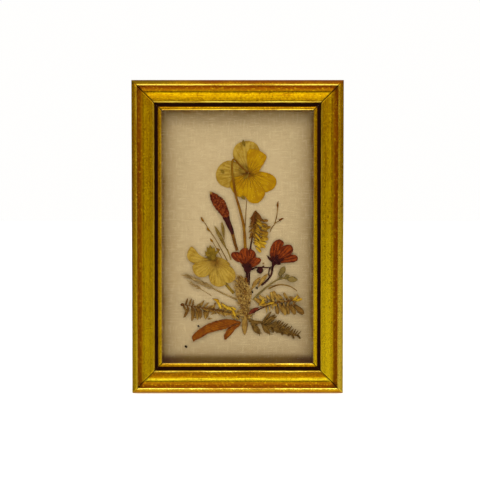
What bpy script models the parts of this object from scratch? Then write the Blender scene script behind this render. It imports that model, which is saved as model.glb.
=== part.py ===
"""A small gilded picture frame with pressed flowers laid on silk behind glass.

Front faces -Y and +Z is up. The back of the rails lies in the plane Y = 0, and the origin is the
middle notch of the sawtooth hanger, where the frame hangs on its nail.
"""

import math

import bmesh
import bpy
from mathutils import Matrix, Vector

MM = 0.001
SHARP = math.radians(40)  # edges sharper than this stay crisp

# The frame, in millimetres.
FRAME_W = 102.0
FRAME_H = 151.0
MITRE_GAP = 0.21  # at each end of a rail, so that two mitred faces stay 0.3 apart
RABBET_U = 11.3  # from the outer edge in to the rabbet's wall
SIGHT_U = 14.3  # from the outer edge in to the sight edge
SEAT_H = 11.15  # height of the rabbet's seat above the back
GAP = 0.3

# What lies in the rabbet, by height above the back.
GLASS_LOW, GLASS_HIGH = 8.85, 10.85
SILK_LOW, SILK_EDGE, SILK_CROWN = 4.4, 5.5, 6.9
CARD_LOW, CARD_HIGH = 3.0, 4.1
BOARD_LOW, BOARD_HIGH = 1.9, 2.7
RABBET_CLEARANCE = 0.6
PAD_INSET = 0.8

# Pressed plants lie in three layers under the glass.
PLANT_THICK = 0.25
LAYER_LOW = 7.2
LAYER_STEP = 0.55

# Fixings.
BRAD_R, BRAD_LENGTH, BRAD_HEIGHT, BRAD_DEPTH = 0.5, 9.0, 1.05, 4.5
BRAD_HOLE_R = 0.82
HANGER_W, HANGER_THICK, HANGER_STAND = 36.0, 0.6, 1.1
NOTCH_Z = FRAME_H / 2 - 7.9  # height of the middle notch above the frame's centre
TOOTH_PITCH, TOOTH_DEPTH = 3.0, 1.4
HANGER_TOP_Z = NOTCH_Z + 5.6
NAIL_X, NAIL_R, NAIL_HEAD_R, NAIL_DEPTH = 14.5, 0.6, 1.4, 5.0
NAIL_HOLE_R = 0.92


def clear_scene():
    for old in list(bpy.data.objects):
        bpy.data.objects.remove(old, do_unlink=True)


def finish(name, colour, roughness, metallic=0.0):
    """A Principled material."""
    material = bpy.data.materials.new(name)
    material.use_nodes = True
    shader = material.node_tree.nodes["Principled BSDF"]
    shader.inputs["Base Color"].default_value = (*colour, 1.0)
    shader.inputs["Roughness"].default_value = roughness
    shader.inputs["Metallic"].default_value = metallic
    return material


def place(name, mesh_data, material, parent):
    """Turns a bmesh into a named object under the frame's centre."""
    bmesh.ops.recalc_face_normals(mesh_data, faces=mesh_data.faces)
    mesh = bpy.data.meshes.new(name)
    mesh_data.to_mesh(mesh)
    mesh_data.free()
    mesh.shade_smooth()
    mesh.set_sharp_from_angle(angle=SHARP)
    mesh.materials.append(material)
    thing = bpy.data.objects.new(name, mesh)
    bpy.context.scene.collection.objects.link(thing)
    thing.parent = parent
    return thing


def prism(outline, low, high):
    """A flat plate with the outline (x, z), between two heights above the back."""
    plate = bmesh.new()
    corners = [plate.verts.new((x * MM, -low * MM, z * MM)) for x, z in outline]
    face = plate.faces.new(corners)
    grown = bmesh.ops.extrude_face_region(plate, geom=[face])
    moved = [v for v in grown["geom"] if isinstance(v, bmesh.types.BMVert)]
    bmesh.ops.translate(plate, verts=moved, vec=(0.0, (low - high) * MM, 0.0))
    return plate


# ---------------------------------------------------------------- rails


def arc(centre, radius, start, end, steps):
    """Points (u, h) on an arc, angles in degrees."""
    turns = [math.radians(start + (end - start) * i / steps) for i in range(steps + 1)]
    return [(centre[0] + radius * math.cos(t), centre[1] + radius * math.sin(t)) for t in turns]


def moulding():
    """The moulding's section as (u, h): u in from the outer edge, h above the back."""
    outer = [(0.0, 0.0), (0.0, 13.6), (0.35, 14.5), (1.1, 15.6)]
    bead = arc((2.1, 15.7), 0.8, 125, 0, 4)
    cove = arc((6.1, 16.1), 3.3, 190, 258, 6)
    face = [(6.4, 13.15), (7.6, 13.35), (9.0, 13.35), (10.0, 13.2)]
    arris = arc((10.15, 12.75), 0.45, 75, 0, 3)
    quirk = [(10.75, 12.05), (12.45, 11.95)]
    lip = [(12.65, 12.3), (13.1, 12.62), (13.7, 12.6), (14.15, 12.3), (SIGHT_U, 11.9)]
    behind = [(SIGHT_U, SEAT_H), (RABBET_U, SEAT_H), (RABBET_U, 0.0)]
    return outer + bead + cove + face + arris + quirk + lip + behind


def rail(name, length, material, parent):
    """One mitred length of moulding, made along X with its outer edge on the line Z = 0."""
    section = moulding()
    stick = bmesh.new()
    ends = []
    for side in (-1, 1):
        ring = []
        for u, h in section:
            x = side * (length / 2 - u - MITRE_GAP)
            ring.append(stick.verts.new((x * MM, -h * MM, -u * MM)))
        ends.append(ring)
        stick.faces.new(ring)
    bmesh.ops.bridge_loops(stick, edges=[e for e in stick.edges])
    return place(name, stick, material, parent)


def turned(thing, quarter_turns, shift):
    thing.rotation_euler = (0.0, quarter_turns * math.pi / 2, 0.0)
    thing.location = (shift[0] * MM, 0.0, shift[1] * MM)
    return thing


def rails(material, parent):
    top = rail("rail_top", FRAME_W, material, parent)
    right = rail("rail_right", FRAME_H, material, parent)
    bottom = rail("rail_bottom", FRAME_W, material, parent)
    left = rail("rail_left", FRAME_H, material, parent)
    return {
        "top": turned(top, 0, (0.0, FRAME_H / 2)),
        "right": turned(right, 1, (FRAME_W / 2, 0.0)),
        "bottom": turned(bottom, 2, (0.0, -FRAME_H / 2)),
        "left": turned(left, 3, (-FRAME_W / 2, 0.0)),
    }


def rod(radius, start, end, sides=12):
    """A round rod from start to end, in millimetres."""
    start, end = Vector(start) * MM, Vector(end) * MM
    along = end - start
    turn = Vector((0, 0, 1)).rotation_difference(along).to_matrix().to_4x4()
    pin = bmesh.new()
    bmesh.ops.create_cone(
        pin,
        cap_ends=True,
        segments=sides,
        radius1=radius * MM,
        radius2=radius * MM,
        depth=along.length,
        matrix=Matrix.Translation((start + end) / 2) @ turn,
    )
    return pin


def drill(target, name, radius, start, end, material, parent):
    """Cuts a blind hole into a rail."""
    cutter = place(name, rod(radius, start, end), material, parent)
    cutter.hide_render = True
    cutter.display_type = "WIRE"
    cut = target.modifiers.new(name, "BOOLEAN")
    cut.object = cutter
    cut.operation = "DIFFERENCE"
    cut.solver = "EXACT"


# ---------------------------------------------------------------- what the rabbet holds


def rectangle(inset):
    half_w = FRAME_W / 2 - inset
    half_h = FRAME_H / 2 - inset
    return [(-half_w, -half_h), (half_w, -half_h), (half_w, half_h), (-half_w, half_h)]


def crowned_pad(name, material, parent, columns=14, rows=20):
    """Silk over wadding: a flat-backed pad whose face swells towards its middle."""
    half_w = FRAME_W / 2 - RABBET_U - PAD_INSET
    half_h = FRAME_H / 2 - RABBET_U - PAD_INSET
    pad = bmesh.new()
    grid = []
    for j in range(rows + 1):
        z = -half_h + 2 * half_h * j / rows
        line = []
        for i in range(columns + 1):
            x = -half_w + 2 * half_w * i / columns
            swell = (1 - (x / half_w) ** 4) * (1 - (z / half_h) ** 6)
            h = SILK_EDGE + (SILK_CROWN - SILK_EDGE) * swell
            line.append(pad.verts.new((x * MM, -h * MM, z * MM)))
        grid.append(line)
    for j in range(rows):
        for i in range(columns):
            pad.faces.new((grid[j][i], grid[j][i + 1], grid[j + 1][i + 1], grid[j + 1][i]))
    rim = grid[0] + [r[-1] for r in grid[1:-1]] + grid[-1][::-1] + [r[0] for r in grid[-2:0:-1]]
    back = [pad.verts.new((v.co.x, -SILK_LOW * MM, v.co.z)) for v in rim]
    for n, front in enumerate(rim):
        after = (n + 1) % len(rim)
        pad.faces.new((front, back[n], back[after], rim[after]))
    pad.faces.new(back)
    return place(name, pad, material, parent)


def brads(holder, materials, parent):
    """A headless pin in the middle of each rabbet wall."""
    walls = {
        "top": ((0.0, FRAME_H / 2 - RABBET_U), (0, 1)),
        "bottom": ((0.0, -FRAME_H / 2 + RABBET_U), (0, -1)),
        "left": ((-FRAME_W / 2 + RABBET_U, 0.0), (-1, 0)),
        "right": ((FRAME_W / 2 - RABBET_U, 0.0), (1, 0)),
    }
    for side, ((x, z), (out_x, out_z)) in walls.items():
        y = -BRAD_HEIGHT
        deep = (x + out_x * BRAD_DEPTH, y, z + out_z * BRAD_DEPTH)
        free = BRAD_DEPTH - GAP - BRAD_LENGTH
        tip = (x + out_x * (BRAD_DEPTH - GAP), y, z + out_z * (BRAD_DEPTH - GAP))
        tail = (x + out_x * free, y, z + out_z * free)
        mouth = (x - out_x, y, z - out_z)
        drill(holder[side], f"cut_brad_{side}", BRAD_HOLE_R, mouth, deep, materials["steel"], parent)
        place(f"brad_{side}", rod(BRAD_R, tail, tip, 8), materials["steel"], parent)


def hanger_rows():
    """The hanger's section from its top edge down: (z, height of its wood side, is it toothed)."""
    top = HANGER_TOP_Z
    return [
        (top, GAP, False),
        (top - 2.9, GAP, False),
        (top - 3.7, GAP + HANGER_STAND, False),
        (NOTCH_Z, GAP + HANGER_STAND, True),
    ]


def hanger(name, material, parent):
    """A strip with a toothed lower edge that stands off the wood, cut for two nails."""
    steps = int(HANGER_W / TOOTH_PITCH) * 2
    strip = bmesh.new()
    sides = {0: [], 1: []}
    for side, line_list in sides.items():
        for z, stand, toothed in hanger_rows():
            line = []
            for i in range(steps + 1):
                x = -HANGER_W / 2 + HANGER_W * i / steps
                drop = TOOTH_DEPTH if toothed and i % 2 else 0.0
                y = stand + side * HANGER_THICK
                line.append(strip.verts.new((x * MM, y * MM, (z - drop) * MM)))
            line_list.append(line)
    wood, wall = sides[0], sides[1]
    for grid in (wood, wall):
        for j in range(len(grid) - 1):
            for i in range(steps):
                strip.faces.new((grid[j][i], grid[j][i + 1], grid[j + 1][i + 1], grid[j + 1][i]))
    for j in (0, -1):
        for i in range(steps):
            strip.faces.new((wood[j][i], wood[j][i + 1], wall[j][i + 1], wall[j][i]))
    for i in (0, -1):
        for j in range(len(wood) - 1):
            strip.faces.new((wood[j][i], wood[j + 1][i], wall[j + 1][i], wall[j][i]))
    return place(name, strip, material, parent)


def nail(name, x, z, material, parent):
    """A nail with a flat round head, through the hanger into the rail."""
    under_head = 2 * GAP + HANGER_THICK
    shank = rod(NAIL_R, (x, -NAIL_DEPTH + GAP, z), (x, under_head, z), 10)
    head_ring = [v for v in shank.verts if v.co.y > (under_head - 0.01) * MM]
    head_face = [f for f in shank.faces if all(v in head_ring for v in f.verts)]
    axis = Vector((x * MM, 0.0, z * MM))
    for widen, rise in ((NAIL_HEAD_R / NAIL_R, 0.0), (1.0, 0.35), (0.6, 0.15)):
        grown = bmesh.ops.extrude_face_region(shank, geom=head_face)
        ring = [v for v in grown["geom"] if isinstance(v, bmesh.types.BMVert)]
        bmesh.ops.delete(shank, geom=head_face, context="FACES_ONLY")
        head_face = [f for f in grown["geom"] if isinstance(f, bmesh.types.BMFace)]
        for v in ring:
            flat = Vector((v.co.x, 0.0, v.co.z)) - axis
            v.co = axis + flat * widen + Vector((0.0, v.co.y + rise * MM, 0.0))
    return place(name, shank, material, parent)


def hang_fixings(holder, materials, parent):
    strip = hanger("sawtooth_hanger", materials["brass"], parent)
    z = HANGER_TOP_Z - 1.5
    for name, x in (("left", -NAIL_X), ("right", NAIL_X)):
        deep, out = (x, -NAIL_DEPTH, z), (x, 3.0, z)
        drill(holder["top"], f"cut_nail_{name}", NAIL_HOLE_R, deep, out, materials["steel"], parent)
        drill(strip, f"cut_strip_{name}", NAIL_HOLE_R, deep, out, materials["steel"], parent)
        nail(f"hanger_nail_{name}", x, z, materials["steel"], parent)


# ---------------------------------------------------------------- outlines of pressed plants


def smooth_path(points, steps=6):
    """A smooth curve through the points."""
    pts = [Vector(p) for p in points]
    pts = [2 * pts[0] - pts[1], *pts, 2 * pts[-1] - pts[-2]]
    path = []
    for k in range(1, len(pts) - 2):
        a, b, c, d = pts[k - 1 : k + 3]
        for i in range(steps):
            t = i / steps
            path.append(0.5 * (2 * b + (c - a) * t + (2 * a - 5 * b + 4 * c - d) * t * t
                               + (3 * b - a - 3 * c + d) * t ** 3))
    path.append(pts[-2])
    return path


def sides_of(path, width_at):
    """The left and right edges of a ribbon along the path; width_at takes 0 to 1."""
    left, right = [], []
    for i, p in enumerate(path):
        along = (path[min(i + 1, len(path) - 1)] - path[max(i - 1, 0)]).normalized()
        across = Vector((-along.y, along.x)) * width_at(i / (len(path) - 1)) / 2
        left.append(p + across)
        right.append(p - across)
    return left, right


def taper(start, end):
    return lambda t: start + (end - start) * t


def swelling(width, extra, at, spread, end_extra=0.0):
    """A width that swells by extra round one place, and grows by end_extra towards the end."""
    return lambda t: width + extra * math.exp(-(((t - at) / spread) ** 2)) + end_extra * t


def reed(points, width_at, steps=4):
    """A strip along the points; width_at gives its width from 0 at its start to 1 at its end."""
    left, right = sides_of(smooth_path(points, steps), width_at)
    return left + right[::-1]


def ribbon(points, start, end, steps=4):
    """A stem whose width goes from start to end."""
    return reed(points, taper(start, end), steps)


def blade(base, tip, width, lean=0.0, fat=1.0, fullest=0.5, steps=9):
    """A leaf from base to tip. lean bows it to its left, fat rounds its ends."""
    base, tip = Vector(base), Vector(tip)
    along = tip - base
    across = Vector((-along.y, along.x)).normalized()
    skew = math.log(0.5) / math.log(fullest)
    left, right = [base], []
    for i in range(1, steps):
        t = i / steps
        spine = base + along * t + across * lean * math.sin(math.pi * t)
        half = across * width / 2 * math.sin(math.pi * t ** skew) ** (1 / fat)
        left.append(spine + half)
        right.append(spine - half)
    return left + [tip] + right[::-1]


def petal(centre, heading, length, width, shoulder=0.62, notch=0.0, start=1.2, steps=7):
    """A petal that fans out from near the flower's centre and ends round, or notched.

    shoulder is where it is widest, as a share of its length; start is how far out it begins.
    """
    along = Vector((math.cos(math.radians(heading)), math.sin(math.radians(heading))))
    across = Vector((-along.y, along.x))
    root = Vector(centre) + along * start
    reach = length - start
    rise = [(shoulder * (i / steps) ** 1.3, (i / steps) ** 0.8) for i in range(1, steps)]
    crown = []
    for i in range(steps + 1):
        turn = math.pi / 2 * i / steps
        dent = notch / reach * math.exp(-(((math.pi / 2 - turn) / 0.45) ** 2))
        crown.append((shoulder + (1 - shoulder) * math.sin(turn) - dent, math.cos(turn)))
    half = [(0.0, 0.3 / width), *rise, *crown]
    right = [root + along * reach * t - across * width / 2 * w for t, w in half]
    left = [root + along * reach * t + across * width / 2 * w for t, w in half[-2::-1]]
    return right + left


def spray(points, start, end, spurs, steps=6):
    """A stalk with blade-shaped spurs in one outline.

    A spur is (t, side, heading, length, width): where along the stalk it grows, on its left (1)
    or right (-1), the way it points in degrees, and its size.
    """
    path = smooth_path(points, steps)
    left, right = sides_of(path, taper(start, end))
    grown = {1: {}, -1: {}}
    for t, side, heading, length, width in spurs:
        grown[side][round(t * (len(path) - 2))] = (heading, length, width)

    def edge(line, side):
        out = []
        for i, p in enumerate(line):
            out.append(p)
            if i in grown[side] and i + 1 < len(line):
                heading, length, width = grown[side][i]
                root = (p + line[i + 1]) / 2
                way = Vector((math.cos(math.radians(heading)), math.sin(math.radians(heading))))
                cross = Vector((-way.y, way.x))
                near = -1 if (p - root).dot(cross) < 0 else 1
                for s, half in ((0.35, 0.38), (0.6, 0.5), (0.85, 0.3)):
                    out.append(root + way * length * s + cross * near * width * half)
                out.append(root + way * length)
                for s, half in ((0.85, 0.3), (0.6, 0.5), (0.35, 0.38)):
                    out.append(root + way * length * s - cross * near * width * half)
        return out

    return edge(left, 1) + edge(right, -1)[::-1]


def layer_of(letter):
    low = LAYER_LOW + "ABC".index(letter) * LAYER_STEP
    return low, low + PLANT_THICK


# ---------------------------------------------------------------- the pressed plants


VIOLA = (5.1, 30.7)  # centre of the large viola
PALE = (-11.0, -12.9)  # centre of the pale viola
RED_MID = (4.9, -14.6)  # calyx of the middle red flower
RED_RIGHT = (17.8, -11.6)  # calyx of the right red flower


def large_viola():
    yield "viola_petal_top", "A", "pale_petal", petal(VIOLA, 95, 15.4, 12.8)
    yield "viola_petal_upper_right", "B", "gold_petal", petal(VIOLA, 57, 12.2, 8.6, 0.72)
    yield "viola_petal_left", "A", "pale_petal", petal(VIOLA, 181, 15.6, 12.8, 0.60)
    yield "viola_petal_right", "A", "gold_petal", petal(VIOLA, -24, 14.2, 11.2, 0.60)
    yield "viola_petal_bottom", "B", "gold_petal", petal(VIOLA, -87, 14.2, 16.4, 0.66, 1.2)
    hook = [(4.2, 31.8), (1.4, 34.9), (-1.0, 37.2), (-2.3, 36.9), (-2.6, 33.0), (-1.9, 26.0), (-0.4, 19.0),
            (1.7, 10.0), (3.1, 2.0), (3.8, -3.8)]
    yield "viola_stem", "C", "brown_stem", ribbon(hook, 0.7, 1.7, 3)


def red_spike():
    yield "bud_spike", "B", "red_bud", blade((-3.8, 8.0), (-13.2, 21.9), 5.8, -0.4, 1.5, 0.56)
    neck = [(-5.3, 10.2), (-3.3, 6.2), (-2.0, 2.4), (-1.0, -1.6), (0.3, -6.6)]
    yield "bud_stem", "A", "dark_stem", ribbon(neck, 2.6, 0.8)


def vetches():
    upper = [(5.5, -6.6), (6.4, -1.0), (7.2, 5.0), (8.2, 10.0), (10.2, 14.0)]
    spurs = [(0.14, -1, -30, 5.0, 1.4), (0.28, -1, -24, 7.4, 1.6), (0.42, -1, -22, 8.0, 1.6)]
    spurs += [(0.56, -1, -30, 7.4, 1.6), (0.70, -1, -42, 6.0, 1.5), (0.86, -1, -60, 4.6, 1.3)]
    spurs += [(t, 1, 200 + 14 * t, 2.4 + 1.4 * t, 1.1) for t in (0.40, 0.56, 0.70, 0.86)]
    yield "upper_vetch", "A", "vetch", spray(upper, 0.8, 0.6, spurs, 8)

    left = [(0.4, -39.2), (-3.4, -37.4), (-10.0, -35.4), (-16.0, -34.8), (-21.0, -34.2), (-26.6, -33.2)]
    spurs = [(t, -1, 118 - 20 * t, 5.0, 1.6) for t in (0.30, 0.44, 0.58, 0.72, 0.86)]
    spurs += [(t, 1, 238 + 14 * t, 4.8, 1.6) for t in (0.38, 0.54, 0.70, 0.84)]
    yield "left_vetch", "B", "vetch", spray(left, 0.9, 0.5, spurs)

    right = [(7.6, -36.9), (12.4, -34.6), (17.7, -32.4), (22.8, -31.4), (26.2, -30.8), (30.6, -30.4)]
    spurs = [(t, 1, 128 - 24 * t, 4.6, 1.8) for t in (0.34, 0.56, 0.74)]
    spurs += [(t, -1, -84 + 12 * t, 5.8, 1.8) for t in (0.48, 0.66, 0.82)]
    yield "right_vetch", "B", "vetch", spray(right, 0.9, 0.6, spurs)


def fine_sprigs():
    fork = [(15.8, 2.6), (17.0, 4.8), (18.2, 6.8), (19.2, 11.0), (19.7, 16.8)]
    yield "seed_sprig_right", "A", "dry_stem", spray(fork, 0.4, 0.6, [(0.45, -1, 26, 4.8, 1.0)])
    long = [(-17.6, 9.2), (-14.2, 4.0), (-10.6, -1.4), (-8.0, -7.2), (-5.6, -11.6)]
    yield "seed_sprig_left", "A", "dry_stem", ribbon(long, 1.0, 0.4)
    short = [(-12.8, -1.2), (-11.2, -3.6), (-9.4, -6.4), (-7.8, -9.4)]
    yield "seed_sprig_small", "C", "dry_stem", ribbon(short, 0.9, 0.4)
    yield "thin_stem", "A", "dry_stem", ribbon([(4.3, 15.4), (3.9, 9.0), (3.6, 3.4)], 0.4, 0.5)
    twin = [(-4.5, -7.4), (-5.0, -5.8), (-5.7, -3.8), (-6.9, -1.2), (-8.8, 1.9), (-11.0, 5.2)]
    yield "needle_leaves", "B", "olive_leaf", spray(twin, 1.1, 0.6, [(0.52, -1, 97, 9.0, 1.0)])


def pale_viola():
    yield "pale_petal_upper_left", "B", "pale_petal", petal(PALE, 157, 13.2, 6.6, 0.66, -0.8)
    yield "pale_petal_lower_left", "C", "pale_petal", petal(PALE, 212, 11.4, 8.4, 0.66)
    yield "pale_petal_bottom", "B", "pale_petal", petal(PALE, 268, 11.3, 8.8, 0.62)
    yield "pale_petal_right", "C", "pale_petal", petal(PALE, -31, 11.4, 11.0, 0.62)
    yield "pale_petal_narrow", "B", "pale_petal", blade((-9.8, -10.6), (-4.6, -12.4), 2.4, 0.2)
    calyx = [(-13.0, -4.0), (-12.4, -7.4), (-11.4, -11.4), (-9.6, -17.6), (-6.2, -22.4), (-1.9, -27.2)]
    yield "pale_viola_stem", "A", "green_stem", reed(calyx, swelling(0.5, 3.4, 0.22, 0.12, 0.8))


def red_flowers():
    sizes = ((138, 10.8, 5.0, "B"), (103, 10.2, 5.8, "C"), (72, 9.2, 5.0, "B"), (40, 8.2, 4.6, "C"))
    for n, (heading, length, width, layer) in enumerate(sizes, 1):
        yield f"mid_flower_petal_{n}", layer, "red_petal", petal(RED_MID, heading, length, width, 0.7, 0.2)
    stem = [(4.8, -13.6), (4.9, -16.0), (4.9, -19.0), (5.0, -21.4)]
    yield "mid_flower_stem", "A", "black_stem", spray(stem, 3.0, 0.9, [(0.08, -1, 148, 3.2, 0.7)])

    sizes = ((79, 10.2, 5.8, "B"), (36, 10.6, 5.8, "C"), (5, 11.6, 4.6, "B"))
    for n, (heading, length, width, layer) in enumerate(sizes, 1):
        yield f"right_flower_petal_{n}", layer, "red_petal", petal(RED_RIGHT, heading, length, width, 0.66)
    stem = [(18.6, -10.8), (17.2, -13.4), (16.6, -16.0), (15.4, -19.2), (13.6, -21.4), (11.4, -23.6)]
    spurs = [(0.05, -1, 140, 4.6, 0.8), (0.07, 1, -30, 2.4, 0.8)]
    yield "right_flower_stem", "A", "black_stem", spray(stem, 3.2, 0.9, spurs)
    arch = [(8.2, -15.3), (9.8, -14.9), (11.4, -14.6), (13.0, -14.2), (14.8, -14.5)]
    yield "round_bud", "B", "black_stem", spray(arch, 0.5, 0.5, [(0.42, -1, -88, 3.0, 2.8)])


def leafy_things():
    stem = [(8.6, -29.6), (10.8, -27.4), (13.4, -25.0), (17.0, -22.7), (20.2, -20.4), (22.4, -19.4),
            (24.4, -19.8)]
    spurs = [(0.78, 1, 66, 5.6, 2.6), (0.94, 1, 40, 2.6, 2.4)]
    yield "leafy_sprig", "B", "grey_leaf", spray(stem, 1.3, 0.7, spurs)
    yield "leafy_sprig_tip", "C", "grey_leaf", blade((23.8, -20.4), (29.2, -20.8), 2.8, 0.1, 1.3)
    low = [(17.6, -24.0), (20.4, -23.2), (23.6, -23.5), (26.4, -24.5), (29.0, -26.4)]
    yield "leafy_sprig_branch", "B", "dry_stem", ribbon(low, 1.0, 0.4)
    yield "bract_lower", "C", "ochre_leaf", blade((6.4, -26.0), (10.4, -20.2), 1.8, 0.3, 1.2)
    yield "bract_upper", "C", "ochre_leaf", blade((10.2, -24.6), (14.6, -18.2), 1.8, 0.4, 1.2)
    hairy = [(4.0, -21.8), (4.4, -26.0), (4.2, -31.0), (4.0, -38.0)]
    yield "hairy_stem", "B", "moss", reed(hairy, lambda t: 7.4 - 4.4 * t * t)

    grass = [(0.0, -31.6), (-2.6, -29.8), (-7.4, -27.4), (-12.4, -25.2), (-16.6, -23.2), (-20.2, -21.4),
             (-25.2, -18.8)]
    yield "grass_head", "A", "dry_grass", reed(grass, swelling(0.7, 1.2, 0.74, 0.18))
    thin = [(-13.6, -28.2), (-16.8, -26.0), (-20.0, -23.9), (-24.4, -21.4)]
    yield "grass_spikelet", "B", "dry_grass", reed(thin, swelling(0.45, 0.9, 0.55, 0.14))

    yield "orange_leaf_long", "B", "orange_leaf", blade((0.4, -40.6), (-22.4, -50.2), 4.8, -1.7, 1.3, 0.5)
    yield "orange_leaf_short", "A", "orange_leaf", blade((1.2, -41.4), (-6.4, -50.0), 3.2, 0.0, 1.25, 0.56)
    yield "tongue_leaf", "C", "grey_leaf", blade((3.4, -39.6), (3.6, -47.8), 3.4, 0.0, 2.0)
    frond = [(5.4, -40.2), (8.8, -41.6), (13.2, -41.9), (17.4, -43.7), (21.8, -45.8), (26.2, -47.3),
             (30.4, -48.2)]
    spurs = [(t, 1, 60 - 34 * t, 4.6 * (1.15 - t), 1.3) for t in (0.28, 0.41, 0.54, 0.67)]
    spurs += [(0.08, -1, -60, 6.6, 1.8), (0.36, -1, -62, 5.4, 1.8), (0.70, -1, -60, 2.4, 0.8)]
    yield "fern_leaf", "B", "dark_leaf", spray(frond, 1.8, 0.8, spurs)
    yield "dark_red_leaf", "C", "dark_red_leaf", blade((5.6, -37.6), (10.3, -34.6), 1.8, 0.0, 1.2)


def main():
    clear_scene()
    centre = bpy.data.objects.new("frame_centre", None)
    bpy.context.scene.collection.objects.link(centre)
    centre.location = (0.0, 0.0, -NOTCH_Z * MM)

    finishes = {
        "gilt": finish("gilt", (0.60, 0.37, 0.04), 0.35, 1.0),
        "glass": finish("glass", (0.93, 0.96, 0.94), 0.03),
        "silk": finish("silk", (0.60, 0.50, 0.32), 0.6),
        "card": finish("card", (0.72, 0.66, 0.52), 0.85),
        "board": finish("board", (0.42, 0.27, 0.14), 0.7),
        "steel": finish("steel", (0.42, 0.40, 0.38), 0.4, 1.0),
        "brass": finish("brass", (0.66, 0.48, 0.20), 0.35, 1.0),
        "pale_petal": finish("pale_petal", (0.50, 0.34, 0.09), 0.7),
        "gold_petal": finish("gold_petal", (0.47, 0.25, 0.01), 0.7),
        "brown_stem": finish("brown_stem", (0.28, 0.10, 0.02), 0.75),
        "red_bud": finish("red_bud", (0.22, 0.04, 0.01), 0.8),
        "dark_stem": finish("dark_stem", (0.08, 0.02, 0.02), 0.8),
        "vetch": finish("vetch", (0.36, 0.20, 0.03), 0.8),
        "dry_stem": finish("dry_stem", (0.28, 0.16, 0.05), 0.8),
        "olive_leaf": finish("olive_leaf", (0.24, 0.16, 0.04), 0.8),
        "green_stem": finish("green_stem", (0.20, 0.14, 0.02), 0.8),
        "red_petal": finish("red_petal", (0.30, 0.06, 0.01), 0.7),
        "black_stem": finish("black_stem", (0.04, 0.01, 0.02), 0.7),
        "grey_leaf": finish("grey_leaf", (0.24, 0.20, 0.10), 0.8),
        "ochre_leaf": finish("ochre_leaf", (0.36, 0.20, 0.05), 0.8),
        "moss": finish("moss", (0.25, 0.14, 0.03), 0.9),
        "dry_grass": finish("dry_grass", (0.34, 0.22, 0.09), 0.8),
        "orange_leaf": finish("orange_leaf", (0.33, 0.09, 0.01), 0.75),
        "dark_leaf": finish("dark_leaf", (0.13, 0.09, 0.03), 0.8),
        "dark_red_leaf": finish("dark_red_leaf", (0.14, 0.02, 0.01), 0.75),
    }

    holder = rails(finishes["gilt"], centre)
    glass_inset = RABBET_U + RABBET_CLEARANCE
    place("glass_pane", prism(rectangle(glass_inset), GLASS_LOW, GLASS_HIGH), finishes["glass"], centre)
    crowned_pad("silk_pad", finishes["silk"], centre)
    place("mount_card", prism(rectangle(glass_inset), CARD_LOW, CARD_HIGH), finishes["card"], centre)
    place("backing_board", prism(rectangle(glass_inset), BOARD_LOW, BOARD_HIGH), finishes["board"], centre)
    brads(holder, finishes, centre)
    hang_fixings(holder, finishes, centre)

    for group in (large_viola, red_spike, vetches, fine_sprigs, pale_viola, red_flowers, leafy_things):
        for name, layer, look, outline in group():
            low, high = layer_of(layer)
            place(name, prism(outline, low, high), finishes[look], centre)


main()
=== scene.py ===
# %% [markdown]
# # Pressed flowers in a small gilded frame
# This lesson dresses a finished CAD model: a gilded frame, 102 by 151 mm, that holds pressed flowers
# between silk and glass. The CAD model gives every size and place. Here each piece gets the surface
# that an old, sun-yellowed keepsake has, and the plants get their veins, hairs, seeds and ragged edges.

# %% Load the frame
import math

import bmesh
import bpy
from mathutils import Matrix, Vector, noise


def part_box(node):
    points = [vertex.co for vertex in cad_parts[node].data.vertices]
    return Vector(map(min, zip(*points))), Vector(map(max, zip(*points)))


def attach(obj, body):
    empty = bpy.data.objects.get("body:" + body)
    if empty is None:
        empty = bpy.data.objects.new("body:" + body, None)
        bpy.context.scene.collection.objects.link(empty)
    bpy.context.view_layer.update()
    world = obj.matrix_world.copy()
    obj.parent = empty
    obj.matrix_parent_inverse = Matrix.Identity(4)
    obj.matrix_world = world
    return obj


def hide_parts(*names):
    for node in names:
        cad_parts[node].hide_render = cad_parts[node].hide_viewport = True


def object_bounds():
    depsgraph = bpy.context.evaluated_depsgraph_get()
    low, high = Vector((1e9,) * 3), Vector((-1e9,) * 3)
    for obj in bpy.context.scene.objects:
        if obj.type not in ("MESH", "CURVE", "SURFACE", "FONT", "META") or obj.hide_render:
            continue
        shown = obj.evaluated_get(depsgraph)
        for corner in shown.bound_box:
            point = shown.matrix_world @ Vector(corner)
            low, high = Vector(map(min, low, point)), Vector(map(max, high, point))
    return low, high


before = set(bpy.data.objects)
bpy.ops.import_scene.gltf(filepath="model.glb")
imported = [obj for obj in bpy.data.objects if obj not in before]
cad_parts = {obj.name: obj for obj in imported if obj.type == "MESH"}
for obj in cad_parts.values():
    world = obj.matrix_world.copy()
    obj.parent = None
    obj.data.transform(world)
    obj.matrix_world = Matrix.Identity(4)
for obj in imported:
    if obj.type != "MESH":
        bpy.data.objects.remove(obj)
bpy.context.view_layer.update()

# %% [markdown]
# ## Measures
# Everything is placed from the CAD boxes. Plants are given in millimetres across (x) and up (z) from the
# middle of the frame, and in height above its back (h), because that is how a picture is laid out on
# a table. The front faces -Y, so a height above the back is a negative Y.

# %% Measures
MM = 0.001
left_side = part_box("rail_left")[0].x
right_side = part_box("rail_right")[1].x
top_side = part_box("rail_top")[1].z
bottom_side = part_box("rail_bottom")[0].z
FRAME_W = (right_side - left_side) / MM
FRAME_H = (top_side - bottom_side) / MM
MIDDLE_Z = (top_side + bottom_side) / 2
RABBET_U = 11.3  # from the outer edge in to the rabbet's wall
SIGHT_U = 14.3  # from the outer edge in to the sight edge
SEAT_H = 11.15  # height of the rabbet's seat, which the glass lies under
print(f"frame {FRAME_W:.1f} x {FRAME_H:.1f} mm, middle at z = {MIDDLE_Z / MM:.1f} mm")


def at(x, z, h):
    """A point of the picture, in metres."""
    return Vector((x * MM, -h * MM, MIDDLE_Z + z * MM))


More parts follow.
